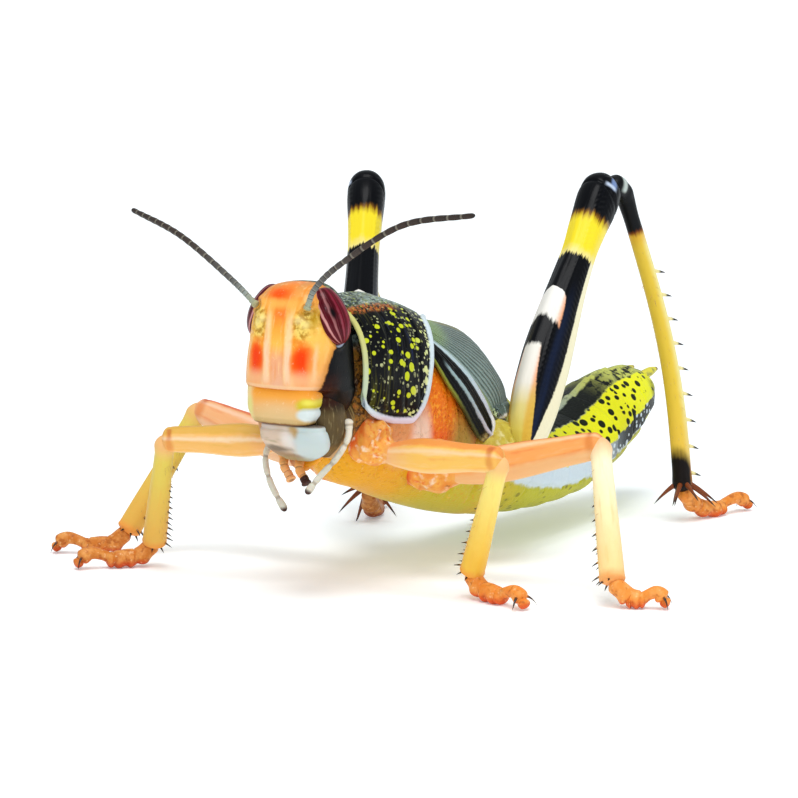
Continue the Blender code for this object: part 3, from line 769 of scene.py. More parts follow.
class HeadFinish(Finish):
    """Peach and orange mask with red patches in front, glossy black cheeks behind with a painted bluish-white
    highlight below the eye.
    """

    def colour(self, brush: Brush) -> Wire:
        """Colours."""
        x, y, z = brush.axes()
        ax = absolute(x)
        fx = absolute(x - 0.12)
        wob = brush.noise(2.6)
        fine = brush.noise(8, 2)
        lumps = brush.noise(3.4, 2)
        ground = shades(z, ((11.2, "EFA86E"), (12.3, "F2A458"), (13.3, "F8AC40"), (14.5, "F8AE3C"),
                            (15.5, "F8AA4C"), (16.4, "DC9048")))
        middle = shades(z + wob * 0.25, ((11.2, "E9AE8C"), (12.8, "EEA678"), (13.5, "FCBA50"),
                                         (14.3, "F9A43C"), (15, "F47C2C"), (15.7, "F58A34")))
        muddle = mix(step(lumps + fine * 0.3, -0.25, 0.3), "A87A22", "F2D26C")
        streak = brush.stretched(3, x * 5, y * 2, z * 0.9)
        face = layers(
            ground,
            (step(fx, 0.56, 0.26) * 0.95, middle),
            (band(fx + fine * 0.03, 0.46, 0.8, 0.12) * step(z, 11.2, 11.8) * step(z, 15.6, 14.4),
             mix(step(z, 12.8, 14.2), "F4C8A2", "F9CA90")),
            (band(fx + wob * 0.05, 0.84, 1.02, 0.08) * step(z, 12.9, 13.6) * 0.6, "EE8A22"),
            (step(streak, 0.05, 0.45) * 0.4, "FDDA98"),
            (step(streak, -0.05, -0.45) * 0.4, "E88A34"),
            (patch(fx, z + wob * 0.1, (1.38, 14.5), (0.58, 0.84), 0.4) * 0.92, muddle),
            (patch(fx, z, (1.08, 14.74), (0.22, 0.17), 0.9) * 0.6, "F6DE96"),
            (patch(fx, z, (1.44, 14.5), (0.2, 0.17), 0.8) * 0.8, "F4DC86"),
            (patch(fx, z, (1.72, 14.75), (0.15, 0.6), 0.8) * 0.8, "B88A14"),
            (patch(fx, z + wob * 0.12, (1.32, 13.66), (0.44, 0.12), 0.9) * 0.8, "EC8A2C"),
            (patch(fx, z + wob * 0.1, (1.9, 13.6), (0.36, 0.72), 0.8) * 0.9, "FABE58"),
            (patch(fx, z + wob * 0.2, (1.38, 12.4), (0.56, 1), 0.5) * 0.8, "F08A3A"),
            (patch(fx, z + wob * 0.14 + fine * 0.07, (1.37, 12.58), (0.53, 0.88), 0.42), "F2600F"),
            (patch(fx, z + wob * 0.2 + fine * 0.08, (1.34, 12.74), (0.36, 0.56), 0.7) * 0.9, "F03A04"),
            (patch(fx, z, (2.02, 12.5), (0.34, 1), 0.7) * 0.6, "F2AE5C"),
            (band(fx + wob * 0.05, 1.86, 1.98, 0.08) * band(z, 11.8, 13.4, 0.4) * 0.6, "F6CDA4"),
            (patch(fx, z, (1.3, 11.75), (0.9, 0.35), 0.9) * 0.6, "F2C090"),
            (patch(x, z + wob * 0.1, (-0.2, 15.98), (0.62, 0.26), 0.8), "F0540F"),
            (patch(x, z, (0, 15.5), (1.2, 0.2), 0.9) * 0.8, "FBB052"),
            (step(fine + wob * 0.6, 0.3, 0.6) * 0.22, "FCE0B8"),
            (band(z, 11.22, 11.4, 0.05) * 0.8, "F2C494"),
            (step(z + fine * 0.03, 11.24, 11.17), "E08A2C"),
        )
        edge = profile(z, ((11, -1), (11.6, -0.78), (12.3, -0.48), (12.9, -0.1), (13.4, 0.32),
                           (14.2, 0.8), (15.2, 1.2), (16.0, 1.15), (16.5, 1.0)))
        behind = y + wob * 0.12 + fine * 0.05 - edge
        black = mix(step(z + wob * 0.3, 12.3, 11) * step(behind, 1.6, 0.3), "040508", "3A1608")
        crown = mix(step(fine + wob, -0.2, 0.5), "20281F", "8E9A70")
        # painted highlight: a thin bluish-white line on the black cheek along the ridge below and behind the
        # eye
        rim_highlight = band(brush.math("SQRT", eye_reach(ax, y, z)), 1.03, 1.09, 0.025) * step(z, 13.9, 13.6)
        return layers(
            face,
            (step(behind, -0.5, 0.05) * 0.8, "C07A34"),
            (step(behind, -0.06, 0.08), mix(step(z + wob * 0.2, 15.6, 16), black, crown)),
            # painted highlight below and behind the eye
            (rim_highlight * step(behind, -0.05, 0.2), "B9C8DA"),
        )

    def height(self, brush: Brush) -> Wire:
        """Fine pitting, with a few larger dents low on the face."""
        dots, _ = brush.cells(5)
        return step(dots, 0.1, 0.32) * 0.6 + brush.noise(16) * 0.3


class ClypeusFinish(Finish):
    """Apricot plate, pale below, with yellow and white lobes at its ends."""

    def colour(self, brush: Brush) -> Wire:
        """Colours."""
        x, _, z = brush.axes()
        wob = brush.noise(3)
        fine = brush.noise(9, 2)
        ground = shades(z + wob * 0.06, ((9.35, "A88A50"), (9.75, "D8B272"), (10.3, "E9AE68"),
                                         (10.85, "EFA03E"), (11.1, "E8932C")))
        return layers(
            ground,
            (patch(x, z, (0.2, 10), (1.3, 0.5), 0.7) * 0.5, "E3C08E"),
            (step(x + wob * 0.1, -1.25, -1.75) * 0.7, "E6D9A0"),
            (patch(x, z + wob * 0.1, (-1.62, 10.25), (0.2, 0.45), 0.6) * 0.7, "D9D27A"),
            (patch(x, z + wob * 0.06, (1.72, 10.44), (0.5, 0.33), 0.45), "D0BA2C"),
            (patch(x, z + wob * 0.06, (1.8, 10.58), (0.26, 0.14), 0.8) * 0.7, "E9DE60"),
            (patch(x, z + wob * 0.05, (1.76, 9.93), (0.52, 0.34), 0.35), "D3DBD8"),
            (step(fine + wob, 0.3, 0.7) * 0.25, "FBE6C0"),
            (step(z + wob * 0.05, 9.5, 9.38) * 0.9, "6E3E14"),
        )


class LabrumFinish(Finish):
    """Pinkish grey lip with a smooth bluish lobe on the left, olive folds on the right and a painted
    highlight on its middle.
    """

    def colour(self, brush: Brush) -> Wire:
        """Colours."""
        x, _, z = brush.axes()
        wob = brush.noise(1.8)
        folds = self.folds(brush)
        return layers(
            mix(step(x + wob * 0.3, 0.1, 1), "D2B9A2", "C2CCC9"),
            (step(x + wob * 0.3, 0.2, -0.9) * step(z, 8.9, 9.2) * 0.5, "DCD2CC"),
            (patch(x, z + wob * 0.1, (0.75, 9.05), (0.3, 0.34), 0.6) * 0.85, "B98A34"),
            (step(folds, -0.1, 0.45) * step(z + x * 0.2, 8.7, 8.2) * step(x, 0.8, 0.1) * 0.8, "857A4C"),
            # painted highlight on the swelling in the middle of the lip
            (patch(x, z, (0.35, 8.55), (0.35, 0.45), 0.8) * 0.7, "E6DED8"),
            (step(z + x * 0.1 + wob * 0.1, 7.95, 7.7) * step(x, 1.4, 0.6) * 0.8, "8D6A40"),
            (patch(x, z + wob * 0.08, (-0.55, 8), (0.75, 0.16), 0.7) * 0.75, "4E3C24"),
            (step(z, 9.22, 9.32) * 0.8, "5A3A1C"),
            (step(z + wob * 0.1, 7.7, 7.45) * 0.6, "A5935E"),
        )

    def height(self, brush: Brush) -> Wire:
        """Soft folds across the right half of the lip."""
        return self.folds(brush) * step(brush.axes()[0], 1, 0.2)

    def folds(self, brush: Brush) -> Wire:
        """Noise drawn out across the lip."""
        x, y, z = brush.axes()
        return brush.noise(1.3, 2, brush.vector(x * 0.7, y, z * 2.2))


class JawFinish(Finish):
    """Black-brown, redder above, with a faint paler streak."""

    def colour(self, brush: Brush) -> Wire:
        """Colours."""
        x, y, z = brush.axes()
        wob = brush.noise(1.6)
        grain = brush.stretched(3, x * 6, y * 6, z * 1.4)
        return layers(
            mix(step(wob, -0.1, 0.5) * 0.6, "120D08", "43341A"),
            (step(x + wob * 0.3, 1.6, 2.1) * step(z, 10.5, 9.7) * 0.6, "6E5A38"),
            (step(grain, 0.05, 0.5) * step(x, 1.2, 1.8) * 0.45, "B09A6C"),
            (step(z + wob * 0.3, 10, 10.6) * 0.7, "3C1508"),
            (step(z + wob * 0.2, 8.4, 8) * 0.6, "8A6430"),
            (step(x, -0.4, -0.9) * step(y, 0.4, 0) * 0.85, "D39A66"),
        )


class LobeFinish(Finish):
    """Olive and brown stripes spreading downward from the root."""

    def colour(self, brush: Brush) -> Wire:
        """Colours."""
        x, y, z = brush.axes()
        fan = (y - 1.2) / (absolute(11.6 - z) + 0.4)
        stripes = brush.stretched(2, fan * 9, x * 0.5, z * 0.5)
        return layers(
            mix(step(stripes, -0.1, 0.15), "4A3418", "8C7344"),
            (step(stripes, 0.22, 0.4) * 0.7, "A39468"),
            (step(z + stripes * 0.2, 8.5, 7.9), "CBA272"),
        )


class LipFinish(Finish):
    """Peach lower lip, golden on the left."""

    def colour(self, brush: Brush) -> Wire:
        """Colours."""
        x, _, z = brush.axes()
        wob = brush.noise(2.8)
        return layers(
            mix(step(x + wob * 0.3, -0.1, 0.5), "EBAA76", "F0A020"),
            (step(wob, 0.2, 0.5) * 0.4, "F8D6A8"),
            (step(z + wob * 0.15, 7.15, 6.85) * 0.5, "A5602A"),
        )


@dataclass(frozen=True)
class EyeFinish(Finish):
    """Wine-red eye with thin pink stripes along its length, a painted pink highlight on its front side, a
    dark spot and a fine honeycomb.
    """

    roughness: float = 0.28
    gloss: float = 0.12
    mirror: float = 0.07
    flesh: float = 0.0
    rise: float = 0.004

    def colour(self, brush: Brush) -> Wire:
        """Colours."""
        u, v = brush.wrapped()
        wob = brush.noise(1.2, 2)
        wave = brush.math("SINE", u * (TURN * EYE_STRIPES) + wob * 1.3)
        thin = brush.math("SINE", u * (TURN * EYE_STRIPES * 2.0) + wob * 2.0)
        soft = step(absolute(v - 0.5), 0.47, 0.34)
        side = step(absolute(brush.math("FRACT", u + 0.17) - 0.5), 0.42, 0.1)
        ground = mix(side, "5A0414", "94082A")
        tint = mix(step(wob, -0.2, 0.5), "A22E48", "BE5C6A")
        return layers(
            ground,
            (step(wave, -0.1, -0.9) * 0.38, "30040C"),
            (step(wave, 0.4, 1) * 0.42 * soft, tint),
            # painted highlight: pale pink over the stripes on the side toward the face
            (step(wave, 0.1, 1) * patch(u, v, (0.79, 0.5), (0.08, 0.42), 1) * 0.8, "E0A29C"),
            (patch(u, v, (0.885, 0.5), (0.035, 0.3), 1) * 0.5, "30030B"),
            (step(thin, 0.6, 1) * 0.14 * soft, "A4505E"),
            (patch(u, v, (0.885, 0.5), (0.022, 0.06), 0.7), "0C0206"),
            (step(v, 0.06, 0.01), "7A3540"),
        )

    def height(self, brush: Brush) -> Wire:
        """Facets."""
        dots, _ = brush.cells(16, loose=0.25)
        return step(dots, 0.75, 0.1)


@dataclass(frozen=True)
class FeelerFinish(Finish):
    """Pale green-grey at the root, turning dark grey-brown, ringed at each joint."""

    roughness: float = 0.5

    def colour(self, brush: Brush) -> Wire:
        """Colours."""
        _, v = brush.wrapped()
        wob = brush.noise(6, 2)
        phase = brush.math("FRACT", v * FEELER_JOINTS)
        ground = shades(v, ((0, "A8A070"), (0.05, "9AA088"), (0.16, "8A9088"), (0.3, "5E5C58"),
                            (0.6, "40352F"), (1, "352B26")))
        return layers(
            ground,
            (band(phase, 0.86, 1.2, 0.06) * 0.7 * step(v, 0.08, 0.14), "2B2522"),
            (band(phase, 0.02, 0.16, 0.06) * 0.35, "B3AC98"),
            (step(wob, 0.2, 0.6) * 0.3, "2F2926"),
        )


@dataclass(frozen=True)
class PalpFinish(Finish):
    """Pale translucent palp with a dusky end and dark joints."""

    flesh: float = 0.15
    root: str = "D2B080"
    shaft: str = "CFC9B8"
    dusk: float = 0.93

    def colour(self, brush: Brush) -> Wire:
        """Colours."""
        _, v = brush.wrapped()
        wob = brush.noise(4, 2)
        ground = mix(step(v + wob * 0.1, 0.25, 0.65), self.root, self.shaft)
        phase = brush.math("FRACT", v * PALP_JOINTS + 0.15)
        return layers(ground, (step(wob, 0, 0.6) * 0.35, "9C8458"),
                      (band(phase, 0.44, 0.56, 0.05) * 0.5, "7A6248"),
                      (step(v + wob * 0.02, self.dusk, self.dusk + 0.05), "3E211A"))


class Head:
    """Head capsule with eyes, feelers and mouthparts."""

    def build(self) -> None:
        """Make every piece of the head."""
        shell = Stack(HEAD_ROWS, relief=face_relief)
        skin = wrap("head_skin", 240, 230, shell.rule, spread=np.asarray)
        settle(skin, HeadFinish("head cuticle", roughness=0.38, mirror=0.09), "face", "head_capsule")
        self.mouth()
        for side in Side:
            self.eye(side)
            self.jaw(side)
        for side, controls in FEELERS.items():
            self.feeler(side, controls)
        self.palps()

    def mouth(self) -> None:
        """Clypeus, upper lip and lower lip."""
        def shield(x: Array, y: Array, z: Array) -> Array:
            lift = 0.18 * knob(x, z, (1.74, 9.93), (0.44, 0.32), 0.9)
            lift += 0.12 * knob(x, z, (1.7, 10.48), (0.42, 0.26), 0.9)
            lift += 0.08 * knob(x, z, (-1.8, 10), (0.4, 0.6), 0.9)
            lift -= 0.07 * hump(z, 10.22, 0.06) * ease(x, 1.1, 1.4)
            lift -= 0.05 * hump(z, 9.66, 0.06) * ease(np.abs(x), 1.7, 1.2)
            return lift - 0.03 * hump(x, 0, 0.25) * ease(z, 10.2, 9.5)

        def lips(x: Array, y: Array, z: Array) -> Array:
            lift = 0.3 * knob(x, z, (0.95, 8.35), (0.85, 0.75))
            lift += 0.15 * knob(x, z, (-0.95, 8.75), (0.8, 0.45))
            lift -= 0.18 * hump(x - 0.3 * (z - 8.6), 0.15, 0.22) * ease(z, 9.15, 8.8)
            lift -= 0.03 * np.sin(z * 9 + x * 2) * ease(x, 0.3, -0.4) * ease(z, 8.7, 8.4)
            return lift - 0.05 * hump(z, 9.08, 0.07)

        plate = Stack(closed(CLYPEUS_ROWS, 0.02, 0.08), x=CLYPEUS_LEAN, power=3.2, relief=shield)
        cover("clypeus", 120, 70, plate.rule, ClypeusFinish("clypeus cuticle"), "face")
        lip = Stack(closed(LABRUM_ROWS, 0.05, 0.14), x=LABRUM_LEAN, power=2.8, relief=lips)
        soft = LabrumFinish("labrum cuticle", gloss=0.1, flesh=0.2, rise=0.03)
        cover("labrum", 130, 80, lip.rule, soft, "mouthparts")
        lower = Stack(closed(LIP_ROWS, 0.1, 0.15), x=LABRUM_LEAN * 0.4)
        cover("labium", 70, 60, lower.rule, LipFinish("lower lip", flesh=0.1), "mouthparts")

    def jaw(self, side: Side) -> None:
        """Mandible and maxilla of one side."""
        def grooves(x: Array, y: Array, z: Array) -> Array:
            return 0.03 * np.sin((y - 1.2) / (11.9 - z) * 40.0)

        jaw = Stack(closed(JAW_ROWS, 0.2, 0.15), x=0.24 + side.value * 1.38)
        cover(f"mandible_{side.word}", 70, 60, jaw.rule, JawFinish("jaw", mirror=0.1), "mandible")
        lobe = Stack(closed(LOBE_ROWS, 0.2, 0.15), x=side.value * 1.34, relief=grooves)
        cover(f"maxilla_{side.word}", 70, 60, lobe.rule, LobeFinish("maxilla"), "mouthparts")

    def eye(self, side: Side) -> None:
        """Compound eye, full depth, fuller above, its upper end leaning inward."""
        def ball(u: Array, v: Array) -> Array:
            tilt, turn = math.pi * (v - 0.5), TURN * u
            full = np.cos(tilt) ** (1 - 0.3 * ease(tilt, 0.1, 1.2))
            a = EYE_SIZE[0] * full * np.cos(turn)
            b = EYE_SIZE[1] * full * np.sin(turn)
            c = EYE_SIZE[2] * np.sin(tilt)
            x = EYE_AT[0] + a * math.cos(EYE_LEAN) - c * math.sin(EYE_LEAN)
            z = EYE_AT[2] + a * math.sin(EYE_LEAN) + c * math.cos(EYE_LEAN)
            return np.stack([x * side.value, EYE_AT[1] + b, z], axis=1)

        made = wrap(f"eye_{side.word}_ball", 72, 48, ball, spread=np.asarray)
        settle(made, EyeFinish("eye"), "eye", f"eye_{side.word}")

    def feeler(self, side: Side, controls: Rows) -> None:
        """Jointed antenna."""
        def beads(u: Array, v: Array) -> Array:
            phase = (v * FEELER_JOINTS) % 1.0
            return 0.016 * np.sin(math.pi * phase) * ease(v, 0.05, 0.1) - 0.02 * hump(v, 0.045, 0.006)

        sizes = rings((0, 0.2), (0.03, 0.2), (0.05, 0.15), (0.065, 0.165), (0.085, 0.135), (0.3, 0.145),
                      (0.8, 0.15), (1, 0.12))
        tube = Tube(path_line(controls), UP, (0, -1, 0), sizes, 2.0, (0.012, 0.012), beads)
        cover(f"antenna_{side.word}", 14, 400, tube.rule, FeelerFinish("feeler"), "antenna", np.asarray)

    def palps(self) -> None:
        """The four jointed palps under the head."""
        pale = PalpFinish("palp", root="E0D6C2")
        peach = PalpFinish("lip palp", root="F0A860", shaft="E59A58", dusk=0.62)
        plain = PalpFinish("lip palp plain", root="F0A860", shaft="EBAA70", dusk=0.97)
        table = (
            ("maxillary_palp_left", pale, 0.17,
             ((2.62, 1.15, 9.55), (2.72, 0.95, 8.6), (2.3, 0.55, 7.6), (1.95, -0.6, 6.7), (1.55, -1.2, 5.9))),
            ("maxillary_palp_right", pale, 0.17,
             ((-1.8, 1.2, 8.5), (-2.15, 0.7, 7.3), (-1.72, 0.5, 5.95), (-0.96, 0.75, 4.48))),
            ("labial_palp_left", peach, 0.24,
             ((0.15, 0.5, 7.5), (0.35, 0.0, 6.95), (0.75, -0.15, 6.5), (1.0, -0.25, 6.2))),
            ("labial_palp_right", plain, 0.24,
             ((-0.85, 0.5, 7.6), (-0.7, 0.2, 7.0), (-0.45, 0.2, 6.6), (-0.15, 0.1, 6.25))),
        )

        def knuckles(u: Array, v: Array) -> Array:
            return -0.045 * hump((v * PALP_JOINTS + 0.15) % 1, 0.5, 0.1) + 0.03 * ease(v, 0.8, 0.95)

        for name, finish, wide, controls in table:
            sizes = rings((0, wide * 1.5), (0.08, wide * 1.5), (0.16, wide), (0.5, wide * 0.95), (1, wide))
            tube = Tube(path_line(controls), UP, (0, -1, 0), sizes, 2.0, (0.06, 0.06), knuckles)
            cover(name, 20, 90, tube.rule, finish, "mouthparts")


# ---- collar and wing pads
PRONOTUM = ((2.25, 15.3, 8.3, 2.75), (4, 15.42, 7.6, 3.15), (6, 15.34, 7.0, 3.4), (8, 14.9, 6.4, 3.55),
            (10.5, 14.0, 6.0, 3.5), (13.2, 12.9, 6.0, 3.2))
LOWER_EDGE = ((2.2, 10.6), (2.5, 10.15), (3.6, 9.3), (5.2, 8.78), (6.5, 8.62), (7.5, 8.7), (14.0, 8.7))
REAR_EDGE = ((0.0, 12.0), (0.1, 11.75), (0.2, 10.75), (0.32, 9.5), (0.45, 8.9), (0.6, 8.4), (0.77, 7.9),
             (0.9, 7.45), (0.955, 7.1), (1.0, 6.7))
TRUNK = ((2.3, 12.3, 8.6, 0.9), (2.9, 14.0, 6.8, 2.0), (4.2, 14.5, 5.6, 2.58), (6.4, 14.2, 4.9, 2.98),
         (8.6, 13.75, 4.1, 3.3), (11.2, 13.2, 3.3, 3.55), (13.8, 12.6, 2.6, 3.62), (16.3, 10.6, 2.1, 3.56),
         (18.6, 8.6, 1.85, 3.5), (21.2, 7.2, 1.65, 3.4), (24, 6.35, 1.55, 3.25), (27, 6.35, 1.65, 3.05),
         (30, 7.2, 2.1, 2.85), (32.8, 8.0, 3.0, 2.6), (35.4, 8.1, 4.1, 2.15), (37.2, 7.8, 5.1, 1.55),
         (38.3, 7.35, 5.85, 0.9), (38.6, 6.9, 6.4, 0.0))
BODY_ROUND = 2.3
BODY_MIDDLE = 0.52
COLLAR_WALL = 0.28
COLLAR_FRONT = 2.25
COLLAR_GROOVES = ((4.55, 0.06), (5.8, 0.05), (7.05, 0.06))
HEM_REACH = 7.4
SADDLE_REACH = 3.6
PAD_WALL = 0.24
RIDGE_ROUND = 1.65
SEGMENT = 2.25
FIRST_RING = 16.4
SEAMS = ((4.9, 1.2, 0.12), (7.6, 1.6, 0.16), (9.9, 1.8, 0.12), (10.9, 2.4, 0.16), (13.2, 2.2, 0.14))
TRUNK_ENDS = (2.3, 38.6)
PAD_VEINS = 15.0


def section(rows: Rows, y: Array) -> tuple[Array, Array, Array, Array]:
    """Top, middle, bottom and half width of an upright section at distances back."""
    top, bottom, half = flow(rows, y).T
    return top, bottom + BODY_MIDDLE * (top - bottom), bottom, half


def body_point(rows: Rows, turn: Array, y: Array, lift: Array, roof: float | Array = BODY_ROUND) -> Array:
    """Point of an upright oval section.

    Args:
        rows: Distance back, top, bottom and half width of the sections.
        turn: Way round the section, 0 on top and growing toward +x.
        y: Distance back of each point.
        lift: How far the point stands out from the plain section.
        roof: How full the upper half is; a small number gives a ridge.

    Returns:
        The points, in millimetres.
    """
    top, middle, bottom, half = section(rows, y)
    power = np.where(np.cos(turn) > 0, roof, BODY_ROUND)
    c, s = rounded(np.cos(turn), power), rounded(np.sin(turn), power)
    reach = np.where(c > 0, top - middle, middle - bottom)
    return np.stack([s * (half + lift), y, middle + c * (reach + lift)], axis=1)


@dataclass(frozen=True)
class SaddleFinish(Finish):
    """Black collar with yellow-green spots, pale rims, a mottled grey-green ridge and painted bluish
    reflections in its side grooves.
    """

    roughness: float = 0.3
    gloss: float = 0.05
    mirror: float = 0.07
    flesh: float = 0.0

    def colour(self, brush: Brush) -> Wire:
        """Colours."""
        z = brush.axes()[2]
        across, along = brush.mark("across"), brush.mark("along")
        front, rear, low = brush.mark("front"), brush.mark("rear"), brush.mark("low")
        wob = brush.noise(1.6)
        fine = brush.noise(6)
        warp = brush.vector(across * 1.45 + fine * 0.05, along * 1.1 + wob * 0.08, 0.0)
        dots, lot = brush.cells(1.75, warp, loose=0.8)
        small, few = brush.cells(3.4, warp, loose=0.9)
        front_part = step(along, 5.2, 3.6)
        spots = step(dots - lot * 0.2 + front_part * 0.06, 0.29, 0.21)
        near = larger(step(rear, 2.2, 0.7) * 0.9, step(wob, -0.1, 0.3) * 0.7)
        dust = step(small - few * 0.2, 0.26, 0.16) * near
        green = mix(step(rear, 1.8, 0.3), "C6CE22", "D9DEA0")
        high = absolute(across)
        streak = brush.stretched(2, across * 0.35, along * 4.5)
        # painted reflections: dark blue streaks down the side grooves
        navy_reflection = step(streak, 0.1, 0.35) * band(high, 2.9, 5.2, 0.4) * band(along, 4, 7, 0.5)
        side = layers("030407", (navy_reflection * 0.6, "1A2750"),
                      # painted highlight: pale blue on the brightest streaks in the side grooves
                      (step(streak, 0.42, 0.55) * band(high, 3.2, 5.4, 0.4) * 0.3, "6F83A8"),
                      (step(streak, 0.05, 0.3) * front_part * 0.25, "7C7A1C"),
                      (dust, "D2D49A"), (spots, green))
        crest = layers(
            mix(step(wob + fine, -0.35, 0.35), "2A342F", "8FA096"),
            (step(brush.noise(4, 2, warp), 0.1, 0.3) * 0.75, "9CA83E"),
            (step(brush.noise(3, 2, warp), 0.12, 0.3) * 0.8, "0C0F10"),
            (step(small - few * 0.2, 0.22, 0.12) * 0.8, "C4CFC0"),
        )
        ember = band(high + wob * 0.2 + fine * 0.15, 1.75, 2.35, 0.16) * step(along + wob * 0.5, 7.4, 5.6)
        return layers(
            side,
            (step(high + wob * 0.25, 2.15, 1.45), crest),
            (ember * step(fine, -0.2, 0.15) * 0.9, "B0622A"),
            (ember * step(fine, 0.3, 0.45), "C9B24A"),
            (step(front + fine * 0.03, 0.36, 0.27), mix(step(z + wob, 10.5, 14), "C3D0B0", "C9C478")),
            (step(brush.math("MINIMUM", rear, low) + fine * 0.04, 0.4, 0.3),
             mix(step(z, 9.8, 8.9), "CFDBE0", "E3D6E6")),
        )

    def height(self, brush: Brush) -> Wire:
        """Wrinkles across the sides and fine pitting."""
        across, along = brush.mark("across"), brush.mark("along")
        long = brush.stretched(3, across * 0.55, along * 3)
        dots, _ = brush.cells(4.5)
        return long + step(dots, 0.12, 0.4) * 0.6


class Collar:
    """Saddle-shaped shield of the first body ring."""

    def shape(self, u: Array, v: Array) -> tuple[Array, Array, Array, Array]:
        """Turn and distance back of places on the shield, with the rear edge and the turn of its hem."""
        w = np.abs(2 * u - 1)
        rear = flow(REAR_EDGE, w)[:, 0]
        front = COLLAR_FRONT + 0.1 * w + 0.5 * ease(w, 0.93, 1)
        y = front + v * (rear - front)
        _, middle, bottom, _ = section(PRONOTUM, y)
        low = flow(LOWER_EDGE, y)[:, 0]
        share = np.clip((middle - low) / (middle - bottom), 0.0, 0.999)
        hem = math.pi / 2 + np.arcsin(share ** (BODY_ROUND / 2))
        return np.sign(2 * u - 1) * w * hem, y, rear, front

    def rule(self, u: Array, v: Array) -> Array:
        """Points of the shield, with its rims, cross grooves and ripples."""
        turn, y, _, _ = self.shape(u, v)
        marks = self.marks(u, v)
        edge = np.minimum(np.minimum(marks["front"], marks["rear"]), marks["low"])
        lift = 0.09 * ease(edge, 0.36, 0.26) - 0.05 * hump(edge, 0.46, 0.1) - 0.1 * ease(edge, 0.08, 0)
        w = np.abs(2 * u - 1)
        side = ease(w, 0.12, 0.3)
        for at, deep in COLLAR_GROOVES:
            bent = at + 0.25 * np.sin(w * 7.0)
            lift -= deep * hump(y, bent, 0.13) * side * ease(w, 0.95, 0.8)
        lift += 0.015 * np.sin(y * 4.2 + w * 5.0) * side
        lift += 0.1 * hump(w, 0, 0.03)
        return body_point(PRONOTUM, turn, y, lift)

    def marks(self, u: Array, v: Array) -> dict[str, Array]:
        """Distances, in millimetres, that the finish draws its rims and spots by."""
        turn, y, stop, start = self.shape(u, v)
        w = np.abs(2 * u - 1)
        rear = (stop - y) * (0.62 + 0.38 * ease(w, 0.25, 0.75))
        return {"front": y - start, "rear": rear, "low": (1 - w) * HEM_REACH,
                "across": turn * SADDLE_REACH, "along": y}

    def build(self) -> None:
        """Make the shield."""
        made = wrap("pronotum_skin", 300, 120, self.rule, self.marks, spread=np.asarray)
        thicken(made, COLLAR_WALL)
        settle(made, SaddleFinish("collar"), "pronotum", "pronotum")


@dataclass(frozen=True)
class ForePadFinish(Finish):
    """Black wing pad with a bluish rib, a pale rear edge and white knobs at its end."""

    roughness: float = 0.36
    mirror: float = 0.07

    def colour(self, brush: Brush) -> Wire:
        """Colours; u runs from the front edge to the rear edge, v downward."""
        u, v = brush.wrapped()
        wob = brush.noise(3)
        at = u + wob * 0.035
        fine = brush.noise(9, 2)
        black = mix(step(wob + fine * 0.5, 0.2, 0.6) * 0.35, "050607", "3A3A30")
        rib = mix(step(v, 0.3, 0.9), "97AEB0", "C2BCC6")
        foot = mix(step(wob + fine * 0.5, -0.3, 0.3), "5E4A1E", "B09A60")
        rear = mix(step(v + wob * 0.05, 0.4, 0.7), "B6C8CC", "C8CCD6")
        return layers(
            black,
            (step(at, 0.1, 0.03) * 0.9, mix(step(v, 0.2, 0.5), "8E9638", "4A4A22")),
            (step(v + wob * 0.05, 0.76, 0.86) * step(at, 0.36, 0.28) * 0.8, foot),
            (band(at, 0.32, 0.43, 0.03) * step(v, 0.08, 0.2), rib),
            (step(at - v * 0.02, 0.74, 0.8), rear),
            (step(at - v * 0.06, 0.88, 0.94) * step(v, 0.5, 0.35) * 0.6, "6E8268"),
            (step(v + wob * 0.03 + step(at, 0.4, 0.9) * 0.05, 0.875, 0.925), "EAE8E6"),
        )

    def height(self, brush: Brush) -> Wire:
        """Veins along the pad."""
        u, _ = brush.wrapped()
        return brush.math("SINE", u * (TURN * 9)) * 0.4 + brush.noise(8) * 0.4


class HindPadFinish(Finish):
    """Grey-green fan with fine dark veins from its root to its edge and a painted white highlight at its end.
    """

    def colour(self, brush: Brush) -> Wire:
        """Colours; u runs from the front edge to the rear edge, v downward."""
        u, v = brush.wrapped()
        wob = brush.noise(1.6, 2)
        fine = brush.noise(7, 2)
        wave = brush.math("SINE", u * (TURN * PAD_VEINS) + wob * 1.2)
        return layers(
            mix(step(u + wob * 0.1, 0.05, 0.8), "8FA29C", "7E8A84"),
            (step(wave + fine * 0.5, 0.15, 0.85) * step(v, 0.03, 0.2) * 0.85, "3C4A40"),
            (step(u, 0.12, 0.03), "B9C796"),
            (step(u + wob * 0.05, 0.88, 0.98) * 0.8, "8F8A62"),
            # painted highlight: the white end of the pad
            (step(v + wob * 0.03, 0.92, 0.97), "E4E6E0"),
            (step(v, 0.16, 0.05) * 0.7, "9CB678"),
        )

    def height(self, brush: Brush) -> Wire:
        """Ribs along the veins."""
        u, _ = brush.wrapped()
        return brush.math("SINE", u * (TURN * PAD_VEINS)) * 1.2 + brush.noise(9, 2) * 0.4


